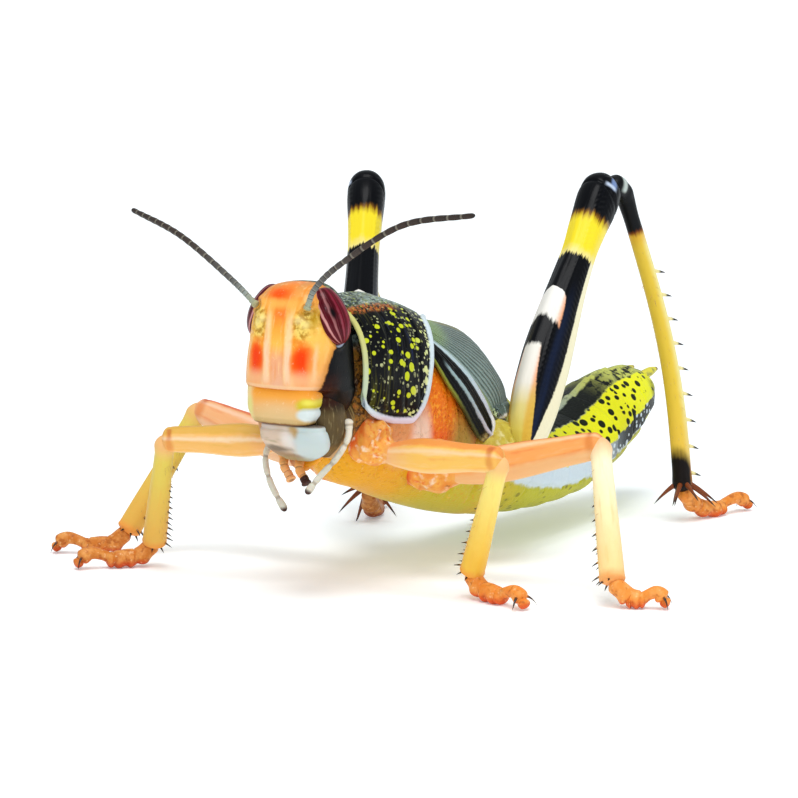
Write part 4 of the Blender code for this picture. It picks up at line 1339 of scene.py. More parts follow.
class Pads:
    """The two pairs of unfolded wing buds."""

    fore = (((8.4, 11.9), (9.3, 10.4), (10.4, 9.1), (11.4, 7.9), (12.2, 7.1), (12.9, 6.7)),
            ((8.9, 12.95), (10.1, 12.1), (11.2, 11.1), (12.2, 9.9), (13.1, 8.7), (13.7, 7.4)))
    hind = (((8.9, 12.95), (10.7, 11.4), (12.1, 9.9), (13.1, 8.9), (13.7, 8.3), (14.0, 8.0)),
            ((10.0, 13.75), (12.8, 13.1), (15.2, 12.1), (16.6, 10.6), (16.1, 9.2), (14.9, 8.2)))

    def pad_rule(self, side: Side, edges: Sequence[Rows], gap: float, ribs: float) -> Rule:
        """Surface between two edges drawn from the side, laid over the trunk."""
        def rule(u: Array, v: Array) -> Array:
            at = 0.5 + (u - 0.5) * np.sqrt(np.clip(1 - np.clip((v - 0.9) / 0.1, 0, 1) ** 2, 0.0, 1.0))
            flat = curve(edges[0], v) * (1 - at)[:, None] + curve(edges[1], v) * at[:, None]
            y, z = flat[:, 0], flat[:, 1]
            top, middle, bottom, half = section(TRUNK, y)
            span = np.where(z > middle, top + 0.5 - middle, middle - bottom)
            share = np.clip(np.abs(z - middle) / span, 0.0, 0.985)
            x = (half + gap) * (1 - share ** BODY_ROUND) ** (1 / BODY_ROUND)
            x = x + 0.14 * np.sin(math.pi * u) + 0.05 * hump(u, 0.4, 0.07)
            x = x + ribs * np.sin(u * TURN * PAD_VEINS) + 0.16 * ease(v, 0.8, 0.95)
            return np.stack([x * side.value, y, z], axis=1)

        return rule

    def build(self) -> None:
        """Make all four pads."""
        hind = ("hindwing_pad", 150, 60, self.hind, 0.16, 0.012, HindPadFinish("hind pad", rise=0.03))
        fore = ("forewing_pad", 110, 70, self.fore, 0.42, 0.0, ForePadFinish("fore pad", rise=0.03))
        for side in Side:
            for kind, across, along, edges, gap, ribs, finish in (hind, fore):
                node = f"{kind}_{side.word}"
                rule = self.pad_rule(side, edges, gap, ribs)
                pad = wrap(f"{node}_skin", across, along, rule, spread=np.asarray)
                if sum(face.normal.x for face in pad.data.polygons) * side.value < 0:
                    pad.data.flip_normals()
                thicken(pad, PAD_WALL)
                settle(pad, finish, "wing_pad", node)


# ---- trunk
class TrunkFinish(Finish):
    """Orange and peach chest, then a tail banded grey, black, bright yellow, bluish white and olive."""

    def colour(self, brush: Brush) -> Wire:
        """Colours."""
        _, y, z = brush.axes()
        w = absolute(brush.wrapped()[0] - 0.5) * 2.0
        wob = brush.noise(1.3)
        fine = brush.noise(5)
        chest = self.chest(brush, w, y, z, wob, fine)
        tail = self.tail(brush, w, y, wob, fine)
        return mix(step(y + wob * 0.4, 14.3, 15.6), chest, tail)

    def chest(self, brush: Brush, w: Wire, y: Wire, z: Wire, wob: Wire, fine: Wire) -> Wire:
        """Front part: peach and pink plates, an orange shield behind the collar, golden belly."""
        belly = mix(step(y + wob * 0.8, 6, 11), "E7A41E", "C6B42A")
        ground = mix(step(w + wob * 0.05, 0.62, 0.72), "DE9660", belly)
        ember = band(w + wob * 0.03, 0.3, 0.605, 0.03) * band(y + fine * 0.1, 7, 11.5, 0.4)
        return layers(
            ground,
            (step(y + wob * 0.3, 4.4, 3.2) * step(w, 0.75, 0.6),
             mix(step(fine + wob * 0.6, -0.3, 0.3), "3A1C0A", "9A6C28")),
            (step(fine, 0, 0.4) * 0.35, "E0702A"),
            (step(fine, -0.2, -0.5) * 0.35, "F6D2A6"),
            (ember, "E8720A"),
            (ember * step(fine + wob * 0.3, 0.02, 0.35) * 0.85, "F7A226"),
            (ember * step(fine - wob * 0.4, -0.15, -0.5) * 0.7, "C24E06"),
            (ember * step(w, 0.37, 0.31) * 0.7, "A5A426"),
            (ember * step(w + wob * 0.04, 0.52, 0.58) * 0.6, "EC5A14"),
            (patch(y, w + wob * 0.01, (7.6, 0.585), (0.75, 0.085), 0.5), "F0CCB6"),
            (patch(y, w, (8.9, 0.655), (1, 0.035), 0.8) * 0.8, "F3C49E"),
            (patch(y, w, (6.3, 0.68), (0.8, 0.05), 0.9) * 0.8, "EDB08A"),
            (patch(y, w, (11.2, 0.6), (1.1, 0.11), 0.6) * 0.85, "A08C3E"),
            (step(y, 7.6, 7.2) * step(y, 6.4, 7) * step(w, 0.56, 0.5) * 0.8, "6E2A12"),
            (step(w + wob * 0.04, 0.8, 0.9), belly),
            (step(wob + fine * 0.6, 0.25, 0.6) * step(w, 0.72, 0.8) * 0.5, "F2CB5A"),
            (step(w, 0.31, 0.25), mix(step(fine + wob, -0.1, 0.4), "2C3630", "93A198")),
        )

    def tail(self, brush: Brush, w: Wire, y: Wire, wob: Wire, fine: Wire) -> Wire:
        """Rear part, in bands along its length."""
        ragged = brush.noise(2.2)
        low_zone = w + ragged * 0.022 + wob * 0.012
        zone = low_zone + step(y, 20, 27) * 0.06
        dots, lot = brush.cells(1.7)
        grit, own = brush.cells(2.6)
        late = step(y, 27, 32)
        back = mix(step(fine + wob, 0.1, 0.5) * 0.5, mix(late, "98A49C", "C0C460"), "4E5A50")
        gold = layers(mix(step(y + wob * 2, 19, 26), "C4C028", "E9E81E"),
                      (step(wob, 0.1, 0.5) * 0.4, "F6E02E"),
                      (step(fine, 0.25, 0.5) * 0.45, "CBD67E"),
                      (step(dots - lot * 0.24, 0.26, 0.17), "141C08"),
                      (step(ragged + fine * 0.6, 0.42, 0.55) * late, "1C2410"))
        belly = layers(mix(step(y, 14, 20), "D6AE2C", "BBB726"),
                       (step(wob + fine * 0.5, 0, 0.5) * 0.5, "98962C"),
                       (step(dots - lot * 0.16, 0.16, 0.08) * 0.6, "5A5210"))
        black = mix(step(fine + wob * 0.5, 0.45, 0.7) * 0.6, "0C120C", "5E6E4A")
        snow = mix(step(fine, 0.2, 0.5) * 0.4, "CDDAE2", "E6EEF2")
        low = mix(late, snow, mix(step(grit - own * 0.2, 0.26, 0.16), black, snow))
        worn = 1 - step(y, 30, 34) * step(ragged + fine * 0.4, -0.25, 0.05)
        return layers(
            back,
            (band(zone, 0.1, 0.245, 0.01) * worn, black),
            (step(zone, 0.24, 0.255), gold),
            (step(low_zone, 0.49, 0.505), low),
            (step(low_zone - late * 0.03, 0.585, 0.6), snow),
            (step(low_zone, 0.64, 0.665), belly),
            (step(y + fine * 0.4, 37.2, 38), mix(step(w, 0.3, 0.5), "D8D25A", "8E8C4A")),
            (patch(y, w, (36.9, 0.5), (0.7, 0.2), 0.6) * 0.7, black),
        )

    def height(self, brush: Brush) -> Wire:
        """Fine bumps, coarser on the chest."""
        y = brush.axes()[1]
        dots, _ = brush.cells(4)
        rough = step(dots, 0.4, 0.1) * step(y, 14, 11)
        return rough * 1.6 + brush.noise(7) * 0.8


class Trunk:
    """Neck, chest and tail under one skin."""

    def rule(self, u: Array, v: Array) -> Array:
        """Points of the skin; u = 0.5 on top and 0.75 on the left flank."""
        y = TRUNK_ENDS[0] + v * (TRUNK_ENDS[1] - TRUNK_ENDS[0])
        turn = TURN * (u - 0.5)
        w = np.abs(2 * u - 1)
        tail = ease(y, 15.6, 17.2) * ease(y, TRUNK_ENDS[1], 37.6)
        phase = ((y - FIRST_RING + 0.35 * np.cos(turn * 2.0)) / SEGMENT) % 1.0
        ramp = phase - ease(phase, 0.9, 1)
        lift = tail * (0.17 * (ramp - 0.4) - 0.05 * hump(phase, 0.06, 0.05))
        lift -= tail * 0.1 * hump(w, 0.645, 0.018)
        lift += tail * 0.05 * hump(w, 0.6, 0.03)
        lift += tail * 0.1 * hump(w, 0, 0.035) * ease(y, 36, 33)
        ridge = BODY_ROUND - (BODY_ROUND - RIDGE_ROUND) * ease(y, 19, 25)
        chest = ease(y, 2.8, 4) * ease(y, 15.8, 14.6)
        flank = chest * ease(w, 0.2, 0.35) * ease(w, 0.86, 0.74)
        for at, lean, deep in SEAMS:
            lift -= flank * deep * hump(y - lean * (w - 0.5), at, 0.16)
        lift += chest * 0.1 * knob(y, w, (8.3, 0.62), (0.8, 0.05))
        lift += chest * 0.1 * knob(y, w, (9.2, 0.46), (0.7, 0.09))
        return body_point(TRUNK, turn, y, lift, ridge)

    def build(self) -> None:
        """Make the skin and the small plates at the tail's end."""
        nodes = ["prothorax", "mesothorax", "metathorax"] + [f"abdomen_{i}" for i in range(1, 7)]
        skin = wrap("trunk_skin", 220, 420, self.rule, spread=lambda v: 0.85 * v + 0.15 * crowded_ends(v))
        settle(skin, TrunkFinish("trunk", rise=0.025), "abdomen", *nodes)
        for side in Side:
            line = path_line(((side.value * 0.5, 37.2, 7.2), (side.value * 0.72, 38.1, 7.5),
                              (side.value * 0.8, 38.95, 7.62)))
            tube = Tube(line, UP, (1, 0, 0), ((0, 0.34, 0.3), (0.5, 0.28, 0.26), (1, 0.1, 0.1)), 2.0,
                        (0.02, 0.05))
            cover(f"cercus_{side.word}", 20, 30, tube.rule, TailFinish("tail appendage"), "abdomen")
        top = Tube(path_line(((0, 36.9, 7.35), (0, 38.0, 7.2), (0, 38.95, 6.85))), UP, (1, 0, 0),
                   ((0, 0.3, 0.85), (0.5, 0.26, 0.66), (1, 0.1, 0.16)), 2.0, (0.05, 0.1))
        plate = wrap("tail_plate", 30, 30, top.rule)
        settle(plate, TailFinish("tail appendage"), "abdomen")


class TailFinish(Finish):
    """Yellow with a dusky tip."""

    def colour(self, brush: Brush) -> Wire:
        """Colours."""
        _, v = brush.wrapped()
        wob = brush.noise(3)
        return layers(mix(step(wob, -0.2, 0.4), "DDD24A", "9A9A5A"),
                      (step(v + wob * 0.1, 0.75, 0.95), "8A6A3A"))


# ---- leg finishes
@dataclass(frozen=True)
class ThighFinish(Finish):
    """Fore or middle thigh: orange, redder along its upper edge, paler below, dusky red at the knee."""

    body: str = "F2B260"
    edge: str = "E8743A"
    streak: str = "F8D3A6"
    low: str = "F3C98C"
    root: str = "F4C9A0"
    flesh: float = 0.08

    def colour(self, brush: Brush) -> Wire:
        """Colours."""
        u, v = brush.wrapped()
        wob = brush.noise(1.8)
        up = brush.math("COSINE", u * TURN) + wob * 0.1
        out = brush.math("SINE", u * TURN)
        grain = brush.stretched(3, u * 12, v * 3)
        return layers(
            mix(step(v + wob * 0.1, 0.35, 0) * 0.8, self.body, self.root),
            (step(grain, 0, 0.5) * 0.5, self.streak),
            (step(grain, -0.05, -0.5) * 0.45, self.edge),
            (step(up, -0.35, -0.75) * 0.8, self.low),
            (step(up, 0.74, 0.93) * 0.75, self.edge),
            (band(up, 0.42, 0.66, 0.12) * step(out, 0, 0.2) * 0.75, self.streak),
            (patch(u, v + wob * 0.01, (0.25, 0.93), (0.12, 0.03), 0.7) * 0.55, "D4722E"),
            (patch(u, v + wob * 0.02, (0.06, 0.93), (0.09, 0.022), 0.7) * 0.6, "B8461E"),
            (step(v + wob * 0.01, 0.955, 0.99) * 0.4, "DC8C46"),
            (step(wob, 0.35, 0.6) * 0.18, "E0852E"),
        )

    def height(self, brush: Brush) -> Wire:
        """Long faint ridges."""
        u, v = brush.wrapped()
        return brush.stretched(3, u * 26, v * 5) * 1.2 + brush.noise(12, 2) * 0.3


@dataclass(frozen=True)
class ShinFinish(Finish):
    """Fore or middle shin: pale above, warmer toward the foot."""

    top: str = "FAF0C0"
    low: str = "F2C65A"
    flesh: float = 0.08

    def colour(self, brush: Brush) -> Wire:
        """Colours."""
        u, v = brush.wrapped()
        wob = brush.noise(1.8)
        out = brush.math("SINE", u * TURN) + wob * 0.1
        return layers(
            mix(step(v + wob * 0.08, 0.1, 0.95), self.top, self.low),
            (step(out, -0.3, -0.9) * 0.5, "E8A850"),
            (step(brush.stretched(3, u * 10, v * 3), -0.05, -0.5) * 0.35, "E9A848"),
            (step(v, 0.22, 0.03) * 0.85, "F0B27A"),
            (step(v + wob * 0.02, 0.9, 0.98) * 0.75, "EE9040"),
        )


@dataclass(frozen=True)
class FootFinish(Finish):
    """Orange foot with redder pads below."""

    body: str = "F09A45"
    pad: str = "E0501C"
    flesh: float = 0.08

    def colour(self, brush: Brush) -> Wire:
        """Colours."""
        z = brush.axes()[2]
        wob = brush.noise(2.4)
        return layers(
            mix(step(wob, -0.3, 0.5) * 0.5, self.body, "F7B76A"),
            (step(z + wob * 0.15, 0.62, 0.2) * 0.85, self.pad),
            (step(brush.noise(3, 2), 0.05, 0.4) * 0.6, "A04A1A"),
            (step(brush.noise(5, 2), 0.2, 0.5) * 0.5, "FBD29A"),
        )


@dataclass(frozen=True)
class HindThighFinish(Finish):
    """Hind thigh: black knee, yellow band, then black with white patches, a painted dark blue reflection
    stripe, cream keel and painted knee highlights.
    """

    roughness: float = 0.32
    gloss: float = 0.04
    mirror: float = 0.07
    flesh: float = 0.0
    drop: float = 0.0

    def colour(self, brush: Brush) -> Wire:
        """Colours."""
        u, v = brush.wrapped()
        wob = brush.noise(1.5)
        fine = brush.noise(6, 2)
        rough = brush.stretched(2, u * 34, v * 3)
        around = brush.fold(u) + fine * 0.006
        at = v + wob * 0.008 + rough * 0.022
        black = mix(step(rough + fine * 0.4, 0.1, 0.7) * 0.3, "040509", "1A1D26")
        # painted reflection: a dark blue stripe along the side of the black thigh, fading out toward the knee
        navy_reflection = mix(band(around + rough * 0.03, 0.16, 0.2, 0.035) * step(v, 0.6, 0.4) * 0.6, black, "1A2848")
        cream = mix(step(around, 0.4, 0.48), "EFE6C2", "E6D394")
        dorsal = around + rough * 0.012
        white = shades(v, ((0.04, "D8C95A"), (0.12, "DBCC80"), (0.19, "E6E0D2"), (0.6, "F1EDE6")))
        blush = mix(step(v, 0.22, 0.14), "EB9A62", "D6A83A")
        window = layers(white, (step(dorsal - step(v, 0.3, 0.4) * 0.05, 0.05, 0.1) * 0.85, blush),
                        (step(fine + wob, 0.4, 0.7) * step(v, 0.46, 0.42) * step(v, 0.38, 0.4),
                         "0C0C10"))
        reach = profile(v + self.drop, ((0.4, 0.155), (0.47, 0.15), (0.515, 0.11), (0.535, 0)))
        first = step(at + self.drop * 0.4 + around * 0.2, 0.418, 0.436) * step(dorsal - reach, 0.012, -0.004)
        low = profile(v, ((0, 0.2), (0.1, 0.15), (0.2, 0.105), (0.3, 0.075)))
        second = step(at, 0.33, 0.312) * step(dorsal - low, 0.006, -0.006)
        bottom = profile(v, ((0, 0.2), (0.1, 0.222), (0.25, 0.25), (0.7, 0.262)))
        keel = step(around - bottom + rough * 0.004, 0, 0.01)
        sun = mix(step(at + wob * 0.02, 0.71, 0.665), "F2D92C", "EFDD8A")
        return layers(
            navy_reflection,
            (larger(first, second), window),
            (keel, cream),
            (band(at + rough * 0.012, 0.668, 0.812, 0.006),
             mix(step(around, 0.22, 0.36) * 0.6, sun, "F2E49A")),
            (step(at, 0.785, 0.815) * 0.75, "8A5A14"),
            (step(at, 0.812, 0.832), black),
            # painted bluish-white highlights on the knee lobe
            (patch(u, v, (0.215, 0.955), (0.03, 0.022), 0.5) * 0.8, "7E96C6"),
            (band(v, 0.93, 0.942, 0.005) * band(u, 0.14, 0.24, 0.02) * 0.9, "C6D2E6"),
        )

    def height(self, brush: Brush) -> Wire:
        """Faint herringbone plates on the outer face and ridges elsewhere."""
        u, v = brush.wrapped()
        fold = brush.fold(u)
        mid = absolute(fold - 0.2)
        plates = brush.math("SINE", v * 330 + mid * 75) * band(fold, 0.11, 0.27, 0.015)
        return plates * 0.35 + brush.stretched(2, u * 40, v * 8) * 0.5


class HindShinFinish(Finish):
    """Hind shin: black head with a painted pale highlight, yellow length paler on its upper side, dark end.
    """

    def colour(self, brush: Brush) -> Wire:
        """Colours."""
        u, v = brush.wrapped()
        wob = brush.noise(1.6)
        streaks = brush.stretched(2, u * 18, v * 5)
        at = v + wob * 0.01 + streaks * 0.008
        up = brush.math("COSINE", u * TURN)
        end = mix(step(up + wob * 0.3, 0.35, -0.15), "A0661E", "120A08")
        return layers(
            mix(step(up + wob * 0.15, -0.7, 0.35), "E3C040", "F1E294"),
            (step(up + wob * 0.1, 0.5, 0.9) * 0.8, "F7F1CE"),
            (step(v, 0.7, 0.9) * 0.5, "E2B44A"),
            (step(at, 0.245, 0.18) * 0.7, "D9A02A"),
            (step(at, 0.198, 0.18), "7A3E10"),
            (step(at, 0.186, 0.172), "050609"),
            (step(at - up * 0.025, 0.875, 0.93), end),
            # painted highlight: a pale grey arc on the upper outer side of the shin's black head
            (band(v, 0.022, 0.036, 0.005) * band(u, 0.1, 0.34, 0.03) * 0.9, "C2CCC4"),
        )


@dataclass(frozen=True)
class ThornFinish(Finish):
    """Thorn with a pale root and a dark tip."""

    root: str = "EFD98A"
    tip: str = "1C1510"
    turn: float = 0.45
    gloss: float = 0.4
    flesh: float = 0.0
    rise: float = 0.0

    def colour(self, brush: Brush) -> Wire:
        """Colours."""
        way = brush.mark("reach") + brush.noise(5, 2) * 0.06
        return mix(step(way, self.turn - 0.16, self.turn + 0.14), self.root, self.tip)


@dataclass(frozen=True)
class HipFinish(Finish):
    """Hip: orange-red with pale painted highlights and a few brown spots."""

    body: str = "E88F3C"
    warm: str = "F6B852"
    red: str = "E24A18"
    # colour of the painted highlights
    fleck: str = "F9DDBE"
    end: str = "F0AE68"
    flesh: float = 0.08

    def colour(self, brush: Brush) -> Wire:
        """Colours."""
        _, v = brush.wrapped()
        wob = brush.noise(1.6)
        fine = brush.noise(4, 2)
        lump = brush.noise(2.4)
        return layers(
            mix(step(wob, -0.3, 0.4), self.body, self.warm),
            (step(v + wob * 0.2, 0.3, 0.05) * 0.7, self.red),
            (step(wob - fine * 0.4, 0.1, 0.5) * 0.75, self.red),
            # painted highlights: pale patches scattered over the hip
            (step(lump + fine * 0.2, 0, 0.45) * 0.9, self.fleck),
            (step(fine - wob, 0.5, 0.8) * 0.5, "6A3212"),
            (step(v, 0.78, 0.97) * 0.8, self.end),
        )


# ---- legs
@dataclass(frozen=True)
class Thickness:
    """Half heights and half widths of a thigh at even places, and of a shin at its two ends."""

    depth: Sequence[float]
    width: Sequence[float]
    shin: Couple

    def thigh(self) -> list[list[float]]:
        """Stations of the thigh."""
        return counted(list(zip(self.depth, self.width)))


THICK = {
    Pair.FORE: Thickness((0.44, 0.66, 0.84, 0.91, 0.87, 0.78, 0.72, 0.71, 0.58),
                         (0.4, 0.58, 0.7, 0.74, 0.7, 0.63, 0.6, 0.6, 0.5), (0.54, 0.64)),
    Pair.MID: Thickness((0.48, 0.74, 0.92, 0.98, 0.95, 0.88, 0.8, 0.76, 0.6),
                        (0.44, 0.64, 0.76, 0.8, 0.77, 0.71, 0.66, 0.64, 0.52), (0.58, 0.66)),
    Pair.HIND: Thickness((0.75, 1.4, 1.6, 1.62, 1.5, 1.3, 1.08, 0.92, 1.06, 1.24, 1.02),
                         (0.6, 0.94, 1.08, 1.1, 1.06, 0.98, 0.92, 0.9, 0.98, 1.1, 0.86), (0.48, 0.56)),
}
COXAE = {
    Pair.FORE: ((1.6, 4.1, 8.2), (2.75, 4.1, 7.6), 1.25, 0.95),
    Pair.MID: ((2.2, 8.8, 6.4), (3.75, 8.9, 5.75), 1.45, 1.05),
    Pair.HIND: ((2.8, 13.9, 6.3), (4.75, 14.2, 6.1), 1.75, 1.25),
}
HEAD_RISE = 1.92
SHIN_BOW = 1.35
CURL_DEPTH = 1.15
CURL = ((0.0, 1.0), (0.016, 0.8), (0.036, 0.38), (0.06, 0.08), (0.09, 0.0), (1.0, 0.0))


@dataclass(frozen=True)
class Spines:
    """Thorns and spurs of a shin: where they stand, how long and thick they are, and their paint."""

    spots: Rows
    spurs: Rows
    radius: float
    spur_radius: float
    finish: Finish
    spur_finish: Finish


SMALL_THORN = ThornFinish("thorn", root="B9803C", turn=0.25, tip="2A1A12")
CLAW = ThornFinish("claw", root="C8722E", tip="2A1510", turn=0.35)
HIP = HipFinish("hip", rise=0.03)
# the hind hip's pale patches are painted highlights too
HIND_HIP = HipFinish("hip hind", rise=0.03, body="B8A23A", warm="D0C050", red="A88A34", fleck="DDD490",
                     end="C8B858")
BRISTLES = 46
SEED = 11
SEED_STEP = 7
SPINES = {
    True: Spines([(0.325 + 0.62 * i / 8, turn, 0.86) for i in range(9) for turn in (0.13, 0.87)],
                 ((0.07, 2.2), (0.19, 1.9), (0.33, 1.6), (0.46, 1.9), (0.64, 1.6), (0.86, 1.9)), 0.13, 0.17,
                 ThornFinish("hind thorn", root="EBDC9A", turn=0.42),
                 ThornFinish("spur", root="76370F", turn=0.72, tip="240D06")),
    False: Spines([(0.46 + 0.48 * i / 5, turn, 0.22 + 0.06 * i) for i in range(6) for turn in (0.44, 0.56)],
                  ((0.4, 0.45), (0.6, 0.45), (0.25, 0.35)), 0.065, 0.08, SMALL_THORN, SMALL_THORN),
}


@dataclass(frozen=True)
class Leg:
    """One leg: where its joints are and what its parts are painted with."""

    pair: Pair
    side: Side
    hip: Place
    knee: Place
    ankle: Place
    toe: Couple
    thigh_finish: Finish
    shin_finish: Finish
    foot_finish: Finish

    @property
    def hind(self) -> bool:
        """Whether this is a jumping leg."""
        return self.pair is Pair.HIND

    @property
    def outer(self) -> Place:
        """Hint for the outer face of the leg."""
        return (self.side.value, 0.0, 0.0) if self.hind else (0.0, -1.0, 0.0)

    @property
    def shin_slot(self) -> str:
        """Material slot of the shin and all that stands on it."""
        return "hind_tibia" if self.hind else "shin"

    def node(self, part: str) -> str:
        """Name of one part of the leg, as the nodes spell it."""
        return f"{self.pair.value}_{part}_{self.side.word}"

    def planes(self) -> tuple[Vector, Vector]:
        """Ways out of the back of the thigh and out of the back of the shin."""
        hip, knee, ankle = Vector(self.hip), Vector(self.knee), Vector(self.ankle)
        thigh, shin = (knee - hip).normalized(), (ankle - knee).normalized()
        away = (thigh - shin).normalized()
        beam = shin.cross(thigh).normalized()
        found = [line.cross(beam).normalized() for line in (thigh, shin)]
        return tuple(way if way.dot(away) > 0 else -way for way in found)

    def build(self) -> None:
        """Make the whole leg."""
        thigh_up, shin_up = self.planes()
        self.hip_piece()
        self.thigh(thigh_up)
        shin = self.shin(shin_up)
        self.spines(shin, shin_up)
        self.foot()

    def hip_piece(self) -> None:
        """Coxa and trochanter."""
        inner, outer, wide, narrow = COXAE[self.pair]
        start, stop = (np.array((self.side.value * x, y, z)) for x, y, z in (inner, outer))
        hip, knee = np.array(self.hip), np.array(self.knee)
        end = hip * 0.55 + stop * 0.45 if self.hind else hip * 0.88 + knee * 0.12
        ring = narrow * 0.78

        def folds(u: Array, v: Array) -> Array:
            lumps = 0.06 * np.sin(TURN * 3 * u + v * 5.0) + 0.05 * np.sin(TURN * 5 * u - v * 16.0)
            return lumps * ease(v, 0.95, 0.7) - 0.08 * hump(v, 0.7, 0.03) + 0.05 * hump(v, 0.6, 0.05)

        tips = ((0.8, ring, ring), (1, ring * 0.9, ring * 0.9)) if self.hind else (
            (0.8, ring * 0.85, ring * 0.85), (1, ring * 0.66, ring * 0.64))
        sizes = (*rings((0, wide), (0.4, wide * 0.96), (0.66, narrow)), *tips)
        line = path_line((start, start * 0.4 + stop * 0.6, stop, end))
        tube = Tube(line, UP, self.outer, sizes, 2.1, (0.06, 0.14), folds)
        cover(self.node("coxa"), 60, 60, tube.rule, HIND_HIP if self.hind else HIP, "thigh")

    def thigh(self, up: Vector) -> None:
        """Femur."""
        hip, knee, way = np.array(self.hip), np.array(self.knee), np.array(up)
        bow, ridges, groove = (0.4, 1.0, 0.07) if self.hind else (0.0, 0.6, 0.015)

        def line(at: Array) -> Array:
            return hip + np.outer(1.03 * at, knee - hip) + np.outer(bow * np.sin(math.pi * at), way)

        def carved(u: Array, v: Array) -> Array:
            fold = np.abs((u + 0.5) % 1.0 - 0.5)
            shaft = ease(v, 0.04, 0.12) * ease(v, 0.88, 0.78)
            lift = 0.07 * hump(fold, 0, 0.03) + 0.05 * hump(fold, 0.125, 0.02)
            lift += 0.05 * hump(fold, 0.315, 0.022) + 0.05 * hump(fold, 0.5, 0.03)
            lump = 0.05 * knob(fold, v, (0.27, 0.945), (0.11, 0.03))
            return lift * ridges * shaft + lump - groove * hump(v, 0.905 + 0.03 * np.cos(TURN * fold), 0.006)

        tube = Tube(line, tuple(up), self.outer, THICK[self.pair].thigh(), 2.25, (0.05, 0.05), carved)
        cells, slot = ((110, 260), "hind_femur") if self.hind else ((80, 140), "thigh")
        cover(self.node("femur"), *cells, tube.rule, self.thigh_finish, slot)

    def shin(self, up: Vector) -> Tube:
        """Tibia, with the curled head that a hind shin has."""
        knee, ankle, way = np.array(self.knee), np.array(self.ankle), np.array(up)
        hind = self.hind
        lead = 0.2 if self.pair is Pair.FORE else 0.4
        start = knee + way * HEAD_RISE if hind else knee - unit(ankle - knee) * lead
        bow = SHIN_BOW if hind else 0.0

        def line(at: Array) -> Array:
            points = start + np.outer(at, ankle - start) + np.outer(bow * np.sin(math.pi * at ** 1.25), way)
            return points - np.outer(CURL_DEPTH * flow(CURL, at)[:, 0], way) if hind else points

        def swell(u: Array, v: Array) -> Array:
            ring = 0.05 * hump(v, 0.045, 0.012) if hind else 0.02 * hump(v, 0.11, 0.02)
            ridge = 0.02 * hump(np.abs((u + 0.5) % 1 - 0.5), 0.14, 0.03) * ease(v, 0.1, 0.2)
            return 0.05 * hump(v, 0.97, 0.02) - ring + ridge

        top, end = THICK[self.pair].shin
        root = 0.67 if hind else top * 1.02
        sizes = ((0, root * 0.9, root * 0.85), (0.03, root, root * 0.95), (0.09, top * 1.08, top),
                 (0.16, top * 0.94, top * 0.88), (0.55, (top + end) * 0.49, (top + end) * 0.45),
                 (0.93, end, end * 0.94), (1, end * 0.92, end * 0.9))
        tube = Tube(line, tuple(up), self.outer, sizes, 2.1, (0.02, 0.02) if hind else (0.1, 0.04), swell)
        cover(self.node("tibia"), 64, 220 if hind else 110, tube.rule, self.shin_finish, self.shin_slot)
        return tube

    def spines(self, shin: Tube, up: Vector) -> None:
        """Spine rows and spurs of the shin, with a few fine bristles."""
        style = SPINES[self.hind]
        away = up if self.hind else -up
        thorns, fan, hairs = [], [], []
        for place, turn, length in style.spots:
            spot, out, ahead = shin.skin_point(turn, place)
            aim = (out * 0.5 + away * 0.75 + ahead * 0.45).normalized()
            thorns.append(Thorn(spot - out * 0.06, aim, length, style.radius, ahead * (0.12 * length)))
        for turn, length in style.spurs:
            spot, out, ahead = shin.skin_point(turn, 0.975)
            aim = (out * 1.1 + ahead * 0.62).normalized()
            fan.append(Thorn(spot - out * 0.22, aim, length, style.spur_radius, ahead * (0.2 * length)))
        settle(thorn_bed(self.node("spines"), thorns), style.finish, self.shin_slot)
        settle(thorn_bed(self.node("spurs"), fan, 10, 8), style.spur_finish, self.shin_slot)
        seed = SEED + SEED_STEP * list(Pair).index(self.pair) + (self.side is Side.LEFT)
        rng = np.random.default_rng(seed)
        for _ in range(BRISTLES):
            place, turn = rng.uniform(0.2, 0.86), rng.uniform(0.3, 0.7)
            spot, out, ahead = shin.skin_point(turn, place)
            aim = (out + ahead * rng.uniform(0.3, 0.9)).normalized()
            hairs.append(Thorn(spot - out * 0.02, aim, rng.uniform(0.18, 0.4), 0.012, ahead * 0.08))
        bristles = thorn_bed(self.node("bristles"), hairs, 3, 3)
        settle(bristles, ThornFinish("bristle", root="DDB870", tip="A88450"), self.shin_slot)

    def foot(self) -> None:
        """Tarsus with its pads, slim last joint and claws."""
        ankle = np.array(self.ankle)
        flat = np.array((ankle[0], ankle[1], 0.0))
        toe = np.array((*self.toe, 0.0))
        length = float(np.linalg.norm(toe - flat))
        along = (toe - flat) / length
        up = np.array(UP)
        heel = (0.62, 1.0) if self.hind else (0.5, 0.66)

        def spot(share: float, height: float) -> Array:
            return flat + along * (share * length) + up * height

        def pads(u: Array, v: Array) -> Array:
            under = 0.15 * ease(np.cos(TURN * u), 0.35, -0.5)
            lift = sum(hump(v, at, 0.075) for at in (0.3, 0.55, 0.78, 0.95)) * under
            return lift - 0.05 * hump(v, 0.42, 0.03) - 0.06 * hump(v, 0.86, 0.02)

